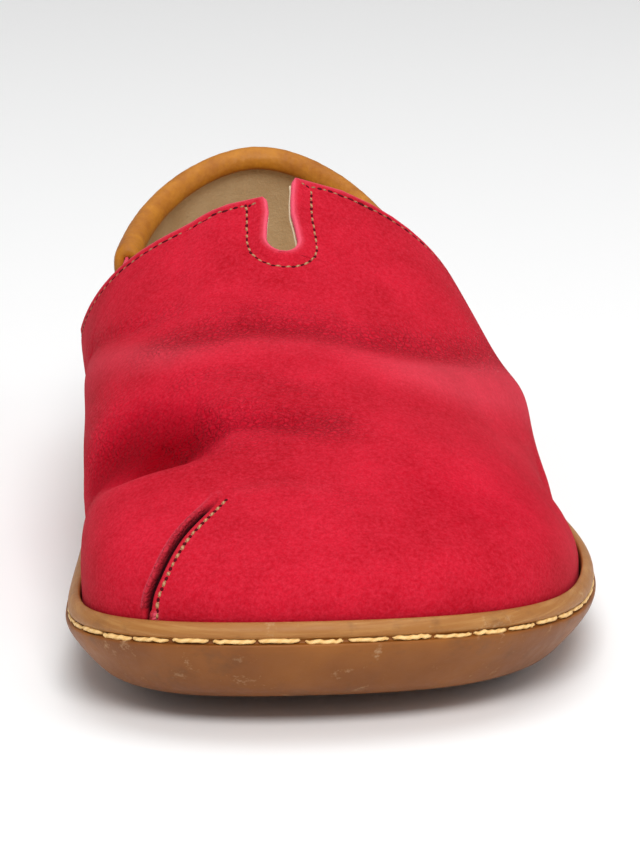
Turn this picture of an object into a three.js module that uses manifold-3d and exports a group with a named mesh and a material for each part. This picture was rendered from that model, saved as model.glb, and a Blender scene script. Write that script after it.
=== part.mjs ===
// A closed-heel slipper in soft leather on a moulded rubber cup sole, for the left foot.
// Sizes are millimetres. -Y is the toe, +Y the heel, +X the outer side of the foot and +Z up.
// The origin is on the ground, under the middle of the shoe's length and width.

import * as THREE from "three";
import { mergeVertices } from "three/addons/utils/BufferGeometryUtils.js";
import Module from "manifold-3d";

const wasm = await Module();
wasm.setup();

// Sole outline
const soleLength = 262;
const toeY = -soleLength / 2;
const heelY = soleLength / 2;
const toeTipX = -9;
const heelTipX = 0;
const centreX = 1.43; // the middle of the shoe's width in the tables' own x
// The sole's outer edge at each station along the foot, on the inner (medial) and outer (lateral) side.
const soleEdge = [
  { y: -126, medial: -33, lateral: 19.5 },
  { y: -109, medial: -46.7, lateral: 39 },
  { y: -84, medial: -48.6, lateral: 48.2 },
  { y: -56, medial: -46.3, lateral: 51.4 },
  { y: -28, medial: -43.6, lateral: 49.2 },
  { y: 2, medial: -40.5, lateral: 45 },
  { y: 36, medial: -37.5, lateral: 41 },
  { y: 70, medial: -35.5, lateral: 37.5 },
  { y: 102, medial: -31, lateral: 32 },
  { y: 123, medial: -18.5, lateral: 19 },
];

// Sole heights
const rimAtBall = 15;
const rimAtHeel = 18;
const rimRiseLength = 120;
const toeSpring = 6.5;
const springStartY = -50;
const archRise = 1.4;
const archFromY = -15;
const archToY = 50;
const floorHeight = 7;
// The sole's side from the ground up and over the rim. A height counts from the ground or from the rim.
const soleProfile = [
  { inset: 12, from: "ground", up: 0 },
  { inset: 7.4, from: "ground", up: 1.5 },
  { inset: 5, from: "ground", up: 3.6 },
  { inset: 2.3, from: "ground", up: 6.6 },
  { inset: 0.5, from: "rim", up: -5.8 },
  { inset: 0, from: "rim", up: -4.5 },
  { inset: 0.2, from: "rim", up: -3.8 },
  { inset: 1, from: "rim", up: -3.3 },
  { inset: 0.9, from: "rim", up: -2.9 },
  { inset: 0.4, from: "rim", up: -2.4 },
  { inset: 0.7, from: "rim", up: -1.2 },
  { inset: 1.5, from: "rim", up: -0.35 },
  { inset: 2.7, from: "rim", up: 0 },
  { inset: 2.7, from: "floor", up: 0 },
];
const soleColumns = 40;

// Upper
const clearance = 0.3;
const featherInset = 3; // how far the foot of the upper lies inside the sole's edge
const wall = 2.4;
const quarterStep = 0.8; // the quarter's leather lies this much lower than the vamp's edge
const seamY = 50;
const seamWidth = 0.4;
// The last's sections, a row for each tenth of the length from the toe: the height and place of the
// crest, then for each side how fast a section leaves its foot (lean), how fast it rises (rise) and
// how far it swells outwards (swell).
const sectionColumns = [
  "crestZ", "crestX", "medLean", "medRise", "medSwell", "latLean", "latRise", "latSwell",
];
const sections = [
  [36, -10, 0.8, 0.8, 1, 0.85, 0.8, 1],
  [41, -10, 0.8, 0.8, 1, 0.95, 0.82, 0.5],
  [46.5, -9, 0.8, 0.8, 2, 1.2, 0.86, -1],
  [53.5, -8, 0.8, 0.82, 4, 1.35, 0.88, -4.2],
  [63.5, -6, 0.85, 0.88, 5.4, 1.3, 0.9, -0.3],
  [79, -4.5, 1, 0.96, 8, 1.3, 0.94, 0.1],
  [83, -3, 1.2, 0.96, 11, 1.33, 0.94, 0],
  [80, -1.5, 1.2, 0.9, 7, 1.35, 0.9, 0],
  [78, -1, 1.1, 0.8, 3.8, 1.2, 0.8, 0],
  [78, -2, 1, 0.78, 2.5, 1, 0.8, -0.3],
  [78, -3, 0.7, 0.78, 2.5, 0.7, 0.8, 2],
];

// Topline and the notch in the throat
const notchY = -23.5;
const notchX = -4.6;
const notchRadius = 3.7;
const tips = { medial: { y: -10.5, z: 75, fall: 2.6 }, lateral: { y: -5.5, z: 80, fall: 2.3 } };
const dipY = 28;
const dipZ = 41;
const backY = 128;
const backZ = 58.6;
const backRise = 3.0;

// Ribs of the upper: they fan out from fanToeY at the toe and from fanHeelY at the heel
const fanToeY = -62;
const fanHeelY = 92;
const fanSpread = 0.15;
const heelZoneY = 60;
const toeZoneEnd = 0.42; // share of the ribs' run u, from toe to heel, where the toe's fan ends
const heelZoneStart = 0.7;
const ribSteps = 14;
const toeColumns = 18;
const notchColumns = 4;
const throatColumns = 4;
const toplineColumns = 12;
const heelColumns = 14;

// Toe dart: a folded seam on the inner side of the toe, as points in plan
const dartRoute = [
  { x: -40, y: -121.6 },
  { x: -34.9, y: -120.3 },
  { x: -32.6, y: -117.6 },
  { x: -29.6, y: -113.8 },
  { x: -26.2, y: -109.9 },
  { x: -23, y: -106.2 },
];
const dartWidth = 2.6;
const dartHeight = 0.9;
const dartRoot = 0.7;
const dartPatch = { fromU: 0.015, toU: 0.15, columns: 14, fromW: 0.02, toW: 0.66, rows: 16 };

// Collar binding: a padded roll round the edge of the heel
const bindingFirst = 3; // the heel's column of ribs where the roll begins, on both sides
const bindingOuter = 2.1; // thickness of the outer and inner leg, and of the roll over the edge
const bindingInner = 1.3;
const bindingTop = 2.5;
const bindingOuterLeg = 5.5;
const bindingInnerLeg = 1.5;
const bindingTaper = 0.6;
const rollSteps = 8;
const legSteps = 2;

// Footbed
const insoleInset = featherInset + wall + 0.4;
// The footbed's top from its edge inwards, as heights above the sole's floor.
const insoleTop = [
  { inset: 0, up: 4.4 },
  { inset: 1.2, up: 5 },
  { inset: 6, up: 4.3 },
  { inset: 14, up: 3.8 },
];

const outlineSamples = 1440;
const splinePasses = 60;
const bisections = 40;
const nudge = 1e-3;

const leather = new THREE.MeshStandardMaterial({ color: 0xc8182f, roughness: 0.75, metalness: 0 });
const rubber = new THREE.MeshStandardMaterial({ color: 0x96602f, roughness: 0.5, metalness: 0 });
const tanLeather = new THREE.MeshStandardMaterial({ color: 0xbf7a2b, roughness: 0.65, metalness: 0 });
const footbed = new THREE.MeshStandardMaterial({ color: 0xc4a47a, roughness: 0.85, metalness: 0 });

// The four cubic B-spline weights at fraction f between two knots.
function splineWeights(f) {
  const g = 1 - f;
  return [g ** 3 / 6, (3 * f ** 3 - 6 * f ** 2 + 4) / 6, (3 * g ** 3 - 6 * g ** 2 + 4) / 6, f ** 3 / 6];
}

// A smooth curve through evenly spaced values, as a function of t from 0 to 1. Its control values c
// solve c = (6 v - c before - c after) / 4, by repeated passes.
function splineThrough(values, closed) {
  const n = values.length;
  const at = (list, i) => {
    if (closed) return list[(i + n) % n];
    if (i < 0) return 2 * list[0] - list[1];
    if (i >= n) return 2 * list[n - 1] - list[n - 2];
    return list[i];
  };
  let control = [...values];
  for (let pass = 0; pass < splinePasses; pass++) {
    const old = control;
    control = values.map((v, i) => (6 * v - at(old, i - 1) - at(old, i + 1)) / 4);
  }
  const spans = closed ? n : n - 1;
  return (t) => {
    const s = closed ? t * spans : THREE.MathUtils.clamp(t, 0, 1) * spans;
    const i = Math.min(Math.floor(s), spans - 1);
    return splineWeights(s - i).reduce((sum, weight, k) => sum + weight * at(control, i + k - 1), 0);
  };
}

// The sole's edge as a dense closed loop, from the toe's tip round the outer side.
function soleLoop() {
  const lateral = soleEdge.map((row) => ({ x: row.lateral, y: row.y }));
  const medial = soleEdge.map((row) => ({ x: row.medial, y: row.y })).reverse();
  const points = [{ x: toeTipX, y: toeY }, ...lateral, { x: heelTipX, y: heelY }, ...medial];
  const x = splineThrough(points.map((p) => p.x - centreX), true);
  const y = splineThrough(points.map((p) => p.y), true);
  return Array.from({ length: outlineSamples }, (_, i) => ({
    x: x(i / outlineSamples),
    y: y(i / outlineSamples),
  }));
}

const edgeLoop = soleLoop();
const insetCache = new Map();

// The sole's edge moved inwards: both sides as lists from toe to heel, and its reach along Y.
function insetEdge(distance) {
  if (insetCache.has(distance)) return insetCache.get(distance);
  const n = edgeLoop.length;
  const loop = edgeLoop.map((p, i) => {
    const before = edgeLoop[(i + n - 1) % n];
    const after = edgeLoop[(i + 1) % n];
    const length = Math.hypot(after.x - before.x, after.y - before.y);
    return {
      x: p.x - ((after.y - before.y) / length) * distance,
      y: p.y + ((after.x - before.x) / length) * distance,
    };
  });
  const ys = loop.map((p) => p.y);
  const low = ys.indexOf(Math.min(...ys));
  const turned = [...loop.slice(low), ...loop.slice(0, low)];
  const high = turned.findIndex((p) => p.y === Math.max(...ys));
  const edge = {
    lateral: turned.slice(0, high + 1),
    medial: [turned[0], ...turned.slice(high).reverse()],
    low: turned[0].y,
    high: turned[high].y,
  };
  insetCache.set(distance, edge);
  return edge;
}

// Where one side of an inset edge stands at y.
function edgeX(edge, side, y) {
  const list = edge[side];
  let a = 0;
  let b = list.length - 1;
  while (b - a > 1) {
    const middle = (a + b) >> 1;
    if (list[middle].y <= y) a = middle;
    else b = middle;
  }
  const share = (y - list[a].y) / (list[b].y - list[a].y);
  return THREE.MathUtils.lerp(list[a].x, list[b].x, THREE.MathUtils.clamp(share, 0, 1));
}

// Heights of the sole at y: the ground side without its arch, the arch, the rim and the cup's floor.
function groundZ(y) {
  return toeSpring * (Math.max(springStartY - y, 0) / (springStartY - toeY)) ** 2;
}
function archZ(y) {
  const t = THREE.MathUtils.clamp((y - archFromY) / (archToY - archFromY), 0, 1);
  return archRise * Math.sin(Math.PI * t) ** 2;
}
function rimZ(y) {
  const t = THREE.MathUtils.smoothstep(y, springStartY, springStartY + rimRiseLength);
  return THREE.MathUtils.lerp(rimAtBall, rimAtHeel, t) + groundZ(y);
}
function floorZ(y) {
  return groundZ(y) + floorHeight;
}

// One closed ring of a moulding, as points from the toe round the outer side to the heel and back.
function soleRing(inset, height) {
  const edge = insetEdge(inset);
  const share = (i) => (1 - Math.cos((Math.PI * i) / soleColumns)) / 2;
  const stationY = (i) => THREE.MathUtils.lerp(edge.low, edge.high, share(i));
  const ring = [];
  for (let i = 0; i < 2 * soleColumns; i++) {
    const side = i <= soleColumns ? "lateral" : "medial";
    const y = stationY(i <= soleColumns ? i : 2 * soleColumns - i);
    ring.push(new THREE.Vector3(edgeX(edge, side, y), y, height(y)));
  }
  return ring;
}

// A closed body from stacked rings. Each end is closed by a ladder of faces from side to side.
function ringsGeometry(rings) {
  const n = rings[0].length;
  const index = [];
  for (let r = 0; r + 1 < rings.length; r++)
    for (let i = 0; i < n; i++) {
      const [a, b] = [r * n + i, r * n + ((i + 1) % n)];
      index.push(a, b, b + n, a, b + n, a + n);
    }
  const last = (rings.length - 1) * n;
  for (let i = 0; i < n / 2; i++) {
    const [a, b, c, d] = [i, i + 1, (n - i - 1) % n, (n - i) % n];
    index.push(a, c, b, last + a, last + b, last + c);
    if (i > 0) index.push(a, d, c, last + a, last + c, last + d);
  }
  return indexedGeometry(rings.flat(), index);
}

function indexedGeometry(points, index) {
  const geometry = new THREE.BufferGeometry().setFromPoints(points);
  geometry.setIndex(index);
  geometry.computeVertexNormals();
  return geometry;
}

function outsoleGeometry() {
  const height = {
    ground: (y) => groundZ(y),
    rim: (y) => rimZ(y),
    floor: (y) => floorZ(y),
  };
  const rings = soleProfile.map(({ inset, from, up }, i) =>
    soleRing(inset, (y) => height[from](y) + up + (i === 0 ? archZ(y) : 0)),
  );
  return ringsGeometry(rings);
}

function insoleGeometry() {
  const base = soleRing(insoleInset, (y) => floorZ(y) + clearance);
  const top = insoleTop.map(({ inset, up }) => soleRing(insoleInset + inset, (y) => floorZ(y) + up));
  return ringsGeometry([base, ...top]);
}

const sectionAt = {};
sectionColumns.forEach((name, column) => {
  sectionAt[name] = splineThrough(sections.map((row) => row[column]), false);
});
const section = (name, y) => sectionAt[name]((y - toeY) / soleLength);
const sideName = { medial: "med", lateral: "lat" };

const featherEdge = insetEdge(featherInset);

// Where a rib stands: the y of its foot on the feather line and the y where it meets the crest.
// In the fans, foot y follows a quarter cosine, and crest y a power of the same run s that leaves the
// middle zone at the same rate, so that the surface stays smooth across the zones.
function station(u) {
  const fan = (s, from, foot, crest) => {
    const ratio = (Math.abs(from - foot) * Math.PI) / 2 / Math.abs(from - crest);
    const power = (ratio - fanSpread) / (1 - fanSpread);
    return {
      footY: foot + (from - foot) * (1 - Math.cos((Math.PI / 2) * s)),
      crestY: crest + (from - crest) * (fanSpread * s + (1 - fanSpread) * s ** power),
    };
  };
  if (u < toeZoneEnd) return fan(u / toeZoneEnd, notchY, featherEdge.low, fanToeY);
  if (u > heelZoneStart) return fan((1 - u) / (1 - heelZoneStart), heelZoneY, featherEdge.high, fanHeelY);
  const y = THREE.MathUtils.mapLinear(u, toeZoneEnd, heelZoneStart, notchY, heelZoneY);
  return { footY: y, crestY: y };
}

// The rib's run u for a foot at y in the middle zone.
function runAt(y) {
  return THREE.MathUtils.mapLinear(y, notchY, heelZoneY, toeZoneEnd, heelZoneStart);
}

// A point of the last's surface, on the rib u at share w of its way from the foot to the crest.
// In plan it runs from foot to crest by 1 - cos(w) to the lean, plus a swell; it rises by sin(w) to the rise.
function lastPoint(side, u, w) {
  const { footY, crestY } = station(u);
  const name = (quantity) => sideName[side] + quantity;
  const foot = new THREE.Vector2(edgeX(featherEdge, side, footY), footY);
  const crest = new THREE.Vector2(section("crestX", crestY) - centreX, crestY);
  const angle = (Math.PI / 2) * w;
  const along = 1 - Math.max(Math.cos(angle), 0) ** section(name("Lean"), footY);
  const up = Math.sin(angle) ** section(name("Rise"), footY);
  const out = foot.clone().sub(crest).normalize();
  const swell = section(name("Swell"), footY) * Math.sin(Math.PI * Math.min(1.5 * w, 1));
  const plan = foot.lerp(crest, along).addScaledVector(out, swell);
  const base = rimZ(footY);
  return new THREE.Vector3(plan.x, plan.y, base + (section("crestZ", plan.y) - base) * up);
}

// Height of the topline: it falls from the tip beside the notch to the dip, then rises to the heel.
function toplineZ(side, y) {
  const tip = tips[side];
  if (y < tip.y) return Infinity;
  const front = THREE.MathUtils.clamp((y - tip.y) / (dipY - tip.y), 0, 1);
  const back = THREE.MathUtils.clamp((y - dipY) / (backY - dipY), 0, 1);
  return dipZ + (tip.z - dipZ) * (1 - front) ** tip.fall + (backZ - dipZ) * back ** backRise;
}

// Whether a point of the last lies in the notch or above the topline, where there is no leather.
function isOpen(side, footY, point) {
  if (point.z > toplineZ(side, footY)) return true;
  if (footY > dipY) return false;
  const across = Math.abs(point.x + centreX - notchX);
  const past = point.y - (notchY + notchRadius);
  return past < 0 ? Math.hypot(across, past) < notchRadius : across < notchRadius;
}

// How far up its rib the leather goes: to the crest in front of the notch, else to the opening's edge.
function ribEnd(side, u) {
  if (u <= toeZoneEnd) return 1;
  const { footY } = station(u);
  let [closed, open] = [0, 1];
  for (let i = 0; i < bisections; i++) {
    const middle = (closed + open) / 2;
    if (isOpen(side, footY, lastPoint(side, u, middle))) open = middle;
    else closed = middle;
  }
  return closed;
}

// The outward normal of the last's surface, from two short steps along it.
function lastNormal(side, u, w) {
  const du = lastPoint(side, Math.min(u + nudge, 1), w).sub(lastPoint(side, Math.max(u - nudge, 0), w));
  const dw = lastPoint(side, u, Math.min(w + nudge, 1)).sub(lastPoint(side, u, Math.max(w - nudge, 0)));
  const normal = new THREE.Vector3().crossVectors(du, dw).normalize();
  return side === "lateral" ? normal : normal.negate();
}

// The ribs' places: close together at the toe and heel, round the notch and at the side seam.
function ribRuns() {
  const runs = [];
  for (let i = 0; i < toeColumns; i++) runs.push((toeZoneEnd * i) / toeColumns);
  for (let i = 0; i < notchColumns; i++)
    runs.push(runAt(notchY + notchRadius * (1 - Math.cos((Math.PI / 2) * (i / notchColumns)))));
  const throat = [notchY + notchRadius, tips.medial.y, tips.lateral.y];
  for (let span = 0; span < 2; span++)
    for (let i = 0; i < throatColumns / 2; i++)
      runs.push(runAt(THREE.MathUtils.lerp(throat[span], throat[span + 1], (2 * i) / throatColumns)));
  for (let i = 0; i < toplineColumns; i++)
    runs.push(runAt(THREE.MathUtils.lerp(tips.lateral.y, seamY, (i / toplineColumns) ** 1.4)));
  runs.push(runAt(seamY), runAt(seamY + seamWidth));
  runs.push(runAt((seamY + heelZoneY) / 2));
  for (let i = 0; i <= heelColumns; i++)
    runs.push(THREE.MathUtils.lerp(heelZoneStart, 1, i / heelColumns));
  return runs;
}

// The hollow upper: the last's surface and its wall, down into the sole's cup, open at the topline
// and underneath. Both sides share the toe's and the heel's rib and the crest in front of the notch.
function upperGeometry() {
  const runs = ribRuns();
  const lastColumn = runs.length - 1;
  const notchColumn = runs.findIndex((u) => u >= toeZoneEnd);
  const points = [];
  const ids = new Map();
  const grid = { lateral: [], medial: [] };
  for (const side of ["lateral", "medial"])
    runs.forEach((u, column) => {
      const end = ribEnd(side, u);
      const { footY } = station(u);
      const foot = lastPoint(side, u, 0);
      grid[side][column] = [];
      for (let row = 0; row <= ribSteps + 1; row++) {
        const crest = row === ribSteps + 1 && column <= notchColumn;
        const shared = column === 0 || column === lastColumn || crest;
        const key = (shared ? "both" : side) + " " + column + " " + row;
        if (!ids.has(key)) {
          ids.set(key, points.length);
          const below = new THREE.Vector3(foot.x, foot.y, floorZ(footY) + clearance);
          points.push(row === 0 ? below : lastPoint(side, u, (end * (row - 1)) / ribSteps));
        }
        grid[side][column][row] = ids.get(key);
      }
    });
  const index = [];
  const quad = (a, b, c, d, flip) => {
    if (flip) index.push(a, c, b, a, d, c);
    else index.push(a, b, c, a, c, d);
  };
  for (const side of ["lateral", "medial"]) {
    const g = grid[side];
    for (let c = 0; c < lastColumn; c++)
      for (let r = 0; r <= ribSteps; r++)
        quad(g[c][r], g[c + 1][r], g[c + 1][r + 1], g[c][r + 1], side === "medial");
  }
  const normals = indexedGeometry(points, index).attributes.normal;
  const outer = points.map((p) => p.clone());
  const inner = points.map((p, i) =>
    p.clone().addScaledVector(new THREE.Vector3().fromBufferAttribute(normals, i), -wall),
  );
  for (const side of ["lateral", "medial"])
    runs.forEach((u, column) => {
      if (u <= runAt(seamY)) return;
      for (let row = 2; row <= ribSteps + 1; row++) {
        const id = grid[side][column][row];
        const normal = new THREE.Vector3().fromBufferAttribute(normals, id);
        const depth = quarterStep * Math.min((row - 1) / 2, 1);
        outer[id] = points[id].clone().addScaledVector(normal, -depth);
      }
    });
  const shift = points.length;
  const all = [...index];
  for (let i = 0; i < index.length; i += 3)
    all.push(index[i] + shift, index[i + 2] + shift, index[i + 1] + shift);
  const strip = (a, b, flip) => {
    if (flip) all.push(a, b + shift, b, a, a + shift, b + shift);
    else all.push(a, b, b + shift, a, b + shift, a + shift);
  };
  for (const side of ["lateral", "medial"]) {
    const g = grid[side];
    for (let c = 0; c < lastColumn; c++) {
      strip(g[c][0], g[c + 1][0], side === "lateral");
      if (c >= notchColumn) strip(g[c][ribSteps + 1], g[c + 1][ribSteps + 1], side === "medial");
    }
  }
  return indexedGeometry([...outer, ...inner], all);
}

// The dart's raised fold: a patch of the last's surface given thickness, cut to the dart's route in plan.
function dartPatchGeometry() {
  const { fromU, toU, columns, fromW, toW, rows } = dartPatch;
  const layers = [];
  for (const lift of [-dartRoot, dartHeight])
    for (let c = 0; c <= columns; c++)
      for (let r = 0; r <= rows; r++) {
        const u = THREE.MathUtils.lerp(fromU, toU, c / columns);
        const w = THREE.MathUtils.lerp(fromW, toW, r / rows);
        layers.push(lastPoint("medial", u, w).addScaledVector(lastNormal("medial", u, w), lift));
      }
  const height = rows + 1;
  const layer = (columns + 1) * height;
  const index = [];
  const face = (a, b, c, d) => index.push(a, c, b, a, d, c);
  for (let c = 0; c < columns; c++)
    for (let r = 0; r < rows; r++) {
      const [p, q] = [c * height + r, (c + 1) * height + r];
      face(layer + p, layer + q, layer + q + 1, layer + p + 1);
      face(p, p + 1, q + 1, q);
    }
  for (let c = 0; c < columns; c++) {
    const [p, q] = [c * height, (c + 1) * height];
    face(p, q, q + layer, p + layer);
    face(q + rows, p + rows, p + rows + layer, q + rows + layer);
  }
  for (let r = 0; r < rows; r++) {
    const far = columns * height + r;
    face(r + 1, r, r + layer, r + 1 + layer);
    face(far, far + 1, far + 1 + layer, far + layer);
  }
  return indexedGeometry(layers, index);
}

// An upright block whose plan is the dart's route with its width.
function dartBlockGeometry() {
  const route = new THREE.CatmullRomCurve3(dartRoute.map((p) => new THREE.Vector3(p.x - centreX, p.y, 0)));
  const steps = 3 * (dartRoute.length - 1);
  const edges = [[], []];
  for (let i = 0; i <= steps; i++) {
    const point = route.getPoint(i / steps);
    const along = route.getTangent(i / steps);
    const half = (dartWidth / 2) * Math.min(1, 0.25 + (3 * (steps - i)) / steps);
    edges[0].push(new THREE.Vector2(point.x - along.y * half, point.y + along.x * half));
    edges[1].unshift(new THREE.Vector2(point.x + along.y * half, point.y - along.x * half));
  }
  const shape = new THREE.Shape([...edges[0], ...edges[1]]);
  return new THREE.ExtrudeGeometry(shape, { depth: backZ, bevelEnabled: false });
}

function solidOf(geometry) {
  const bare = new THREE.BufferGeometry();
  bare.setAttribute("position", geometry.getAttribute("position"));
  bare.setIndex(geometry.index);
  const merged = mergeVertices(bare, 1e-4);
  return new wasm.Manifold(
    new wasm.Mesh({
      numProp: 3,
      vertProperties: new Float32Array(merged.attributes.position.array),
      triVerts: new Uint32Array(merged.index.array),
    }),
  );
}

function geometryOf(solid) {
  const mesh = solid.getMesh();
  const geometry = new THREE.BufferGeometry();
  geometry.setAttribute("position", new THREE.BufferAttribute(new Float32Array(mesh.vertProperties), 3));
  geometry.setIndex(new THREE.BufferAttribute(new Uint32Array(mesh.triVerts), 1));
  geometry.computeVertexNormals();
  return geometry;
}

function upperWithDart() {
  const fold = solidOf(dartPatchGeometry()).intersect(solidOf(dartBlockGeometry()));
  return geometryOf(solidOf(upperGeometry()).add(fold));
}

// The binding's section round the leather's edge: over the roll, then down and up each leg.
// Distances are out from the last's surface and up from the leather's edge.
function bindingSection() {
  const outerFace = -quarterStep + clearance;
  const innerFace = -wall - clearance;
  const outerSide = outerFace + bindingOuter;
  const innerSide = innerFace - bindingInner;
  const points = [];
  const leg = (outFrom, upFrom, outTo, upTo) => {
    for (let i = 1; i <= legSteps; i++) {
      const share = i / legSteps;
      points.push({
        out: THREE.MathUtils.lerp(outFrom, outTo, share),
        up: THREE.MathUtils.lerp(upFrom, upTo, share),
      });
    }
  };
  for (let i = 0; i <= rollSteps; i++) {
    const angle = (Math.PI * i) / rollSteps;
    points.push({
      out: THREE.MathUtils.lerp(outerSide, innerSide, (1 - Math.cos(angle)) / 2),
      up: (clearance + bindingTop) * Math.sin(angle),
    });
  }
  leg(innerSide, 0, innerSide + bindingTaper, -bindingInnerLeg);
  points.push({ out: innerFace, up: -bindingInnerLeg });
  leg(innerFace, -bindingInnerLeg, innerFace, clearance);
  points.push({ out: outerFace, up: clearance });
  leg(outerFace, clearance, outerFace, -bindingOuterLeg);
  leg(outerSide - bindingTaper, -bindingOuterLeg, outerSide, 0);
  return points.slice(0, -1);
}

// The binding runs over the heel's ribs, from the rib where it begins round to the same one opposite. Below the edge its legs follow the wall down the rib.
function bindingGeometry() {
  const profile = bindingSection();
  const stops = [];
  for (let i = bindingFirst; i <= 2 * heelColumns - bindingFirst; i++) {
    const share = 1 - Math.abs(i - heelColumns) / heelColumns;
    stops.push({
      side: i <= heelColumns ? "lateral" : "medial",
      u: THREE.MathUtils.lerp(heelZoneStart, 1, share),
    });
  }
  const points = [];
  for (const { side, u } of stops) {
    const end = ribEnd(side, u);
    const edge = lastPoint(side, u, end);
    const rib = edge.clone().sub(lastPoint(side, u, end - nudge));
    const reach = rib.length() / nudge;
    rib.normalize();
    for (const { out, up } of profile) {
      const w = end + Math.min(up, 0) / reach;
      const point = lastPoint(side, u, w).addScaledVector(lastNormal(side, u, w), out);
      points.push(point.addScaledVector(rib, Math.max(up, 0)));
    }
  }
  const n = profile.length;
  const index = [];
  for (let s = 0; s + 1 < stops.length; s++)
    for (let i = 0; i < n; i++) {
      const [a, b] = [s * n + i, s * n + ((i + 1) % n)];
      index.push(a, a + n, b + n, a, b + n, b);
    }
  const outline = profile.map(({ out, up }) => new THREE.Vector2(out, up));
  const last = (stops.length - 1) * n;
  for (const [a, b, c] of THREE.ShapeUtils.triangulateShape(outline, []))
    index.push(a, b, c, last + a, last + c, last + b);
  return indexedGeometry(points, index);
}

function piece(name, geometry, material) {
  const mesh = new THREE.Mesh(geometry, material);
  mesh.name = name;
  return mesh;
}

const group = new THREE.Group();
group.add(piece("outsole", outsoleGeometry(), rubber));
group.add(piece("insole", insoleGeometry(), footbed));
group.add(piece("upper", upperWithDart(), leather));
group.add(piece("collar_binding", bindingGeometry(), tanLeather));

export default group;
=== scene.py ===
import bpy
import numpy as np
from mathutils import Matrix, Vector


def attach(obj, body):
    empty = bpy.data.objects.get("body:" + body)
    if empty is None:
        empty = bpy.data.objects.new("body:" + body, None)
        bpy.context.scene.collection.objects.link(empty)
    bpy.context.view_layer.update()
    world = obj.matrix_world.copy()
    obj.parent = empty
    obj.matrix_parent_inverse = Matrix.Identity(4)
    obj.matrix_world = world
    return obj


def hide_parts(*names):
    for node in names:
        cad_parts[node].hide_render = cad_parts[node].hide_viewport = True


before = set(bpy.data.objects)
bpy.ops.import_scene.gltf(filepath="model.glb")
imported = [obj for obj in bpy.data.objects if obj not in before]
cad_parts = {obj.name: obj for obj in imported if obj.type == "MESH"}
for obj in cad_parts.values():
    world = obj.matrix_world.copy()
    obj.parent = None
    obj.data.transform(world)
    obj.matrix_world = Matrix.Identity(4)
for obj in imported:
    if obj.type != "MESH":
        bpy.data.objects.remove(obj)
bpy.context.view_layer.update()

mm = 0.001
medial, lateral = -1, 1
farAway = 99.0  # mm
chance = np.random.default_rng(11)


# Helpers

def linear(hexColour):
    # sRGB hex to linear RGBA: each channel c becomes ((c + 0.055) / 1.055) ^ 2.4, or c / 12.92 near black
    c = np.array([int(hexColour[i:i + 2], 16) for i in (1, 3, 5)]) / 255
    c = np.where(c > 0.04045, ((c + 0.055) / 1.055) ** 2.4, c / 12.92)
    return (*c.tolist(), 1.0)


def addNode(tree, kind, settings=None, links=None):
    # adds one node; settings are its properties or its sockets' values, links give what feeds a socket
    node = tree.nodes.new(kind)
    for key, value in (settings or {}).items():
        if isinstance(key, int) or key in node.inputs:
            node.inputs[key].default_value = value
        else:
            setattr(node, key, value)
    for key, source in (links or {}).items():
        tree.links.new(source, node.inputs[key])
    return node


def newMaterial(name):
    # an empty material and its node tree
    material = bpy.data.materials.new(name)
    material.use_nodes = True
    material.node_tree.nodes.clear()
    return material, material.node_tree


def finishMaterial(tree, shader):
    # the shader goes to the material's surface
    addNode(tree, "ShaderNodeOutputMaterial", links={"Surface": shader.outputs[0]})


def sized(feature):
    # the Scale of a pattern whose features are this many mm: 1000 / size, as object coordinates are in metres
    return 1000 / feature


def smooth(t):
    # 3t^2 - 2t^3 between 0 and 1, flat outside
    t = np.clip(t, 0, 1)
    return t * t * (3 - 2 * t)


def mix(a, b, share):
    # a + (b - a) * share
    return a + (b - a) * share


def unit(v):
    # v / |v|
    return v / np.maximum(np.linalg.norm(v, axis=-1, keepdims=True), 1e-12)


def gridQuads(ids, flip=False):
    # the quads of a grid of vertex numbers, first index along the part, second up it
    q = np.stack([ids[:-1, :-1], ids[1:, :-1], ids[1:, 1:], ids[:-1, 1:]], -1).reshape(-1, 4)
    return q[:, ::-1] if flip else q


def vertexNormals(points, quads):
    # the sum of the crossed diagonals of the quads round each vertex, made unit length
    cross = np.cross(points[quads[:, 2]] - points[quads[:, 0]], points[quads[:, 3]] - points[quads[:, 1]])
    total = np.zeros_like(points)
    for corner in range(4):
        for axis in range(3):
            total[:, axis] += np.bincount(quads[:, corner], cross[:, axis], len(points))
    return unit(total)


def signedVolume(points, tris):
    # sum of a . (b x c) / 6 over the triangles: above 0 where the faces of a closed skin look outward
    a, b, c = points[tris[:, 0]], points[tris[:, 1]], points[tris[:, 2]]
    return (a * np.cross(b, c)).sum() / 6


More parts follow.
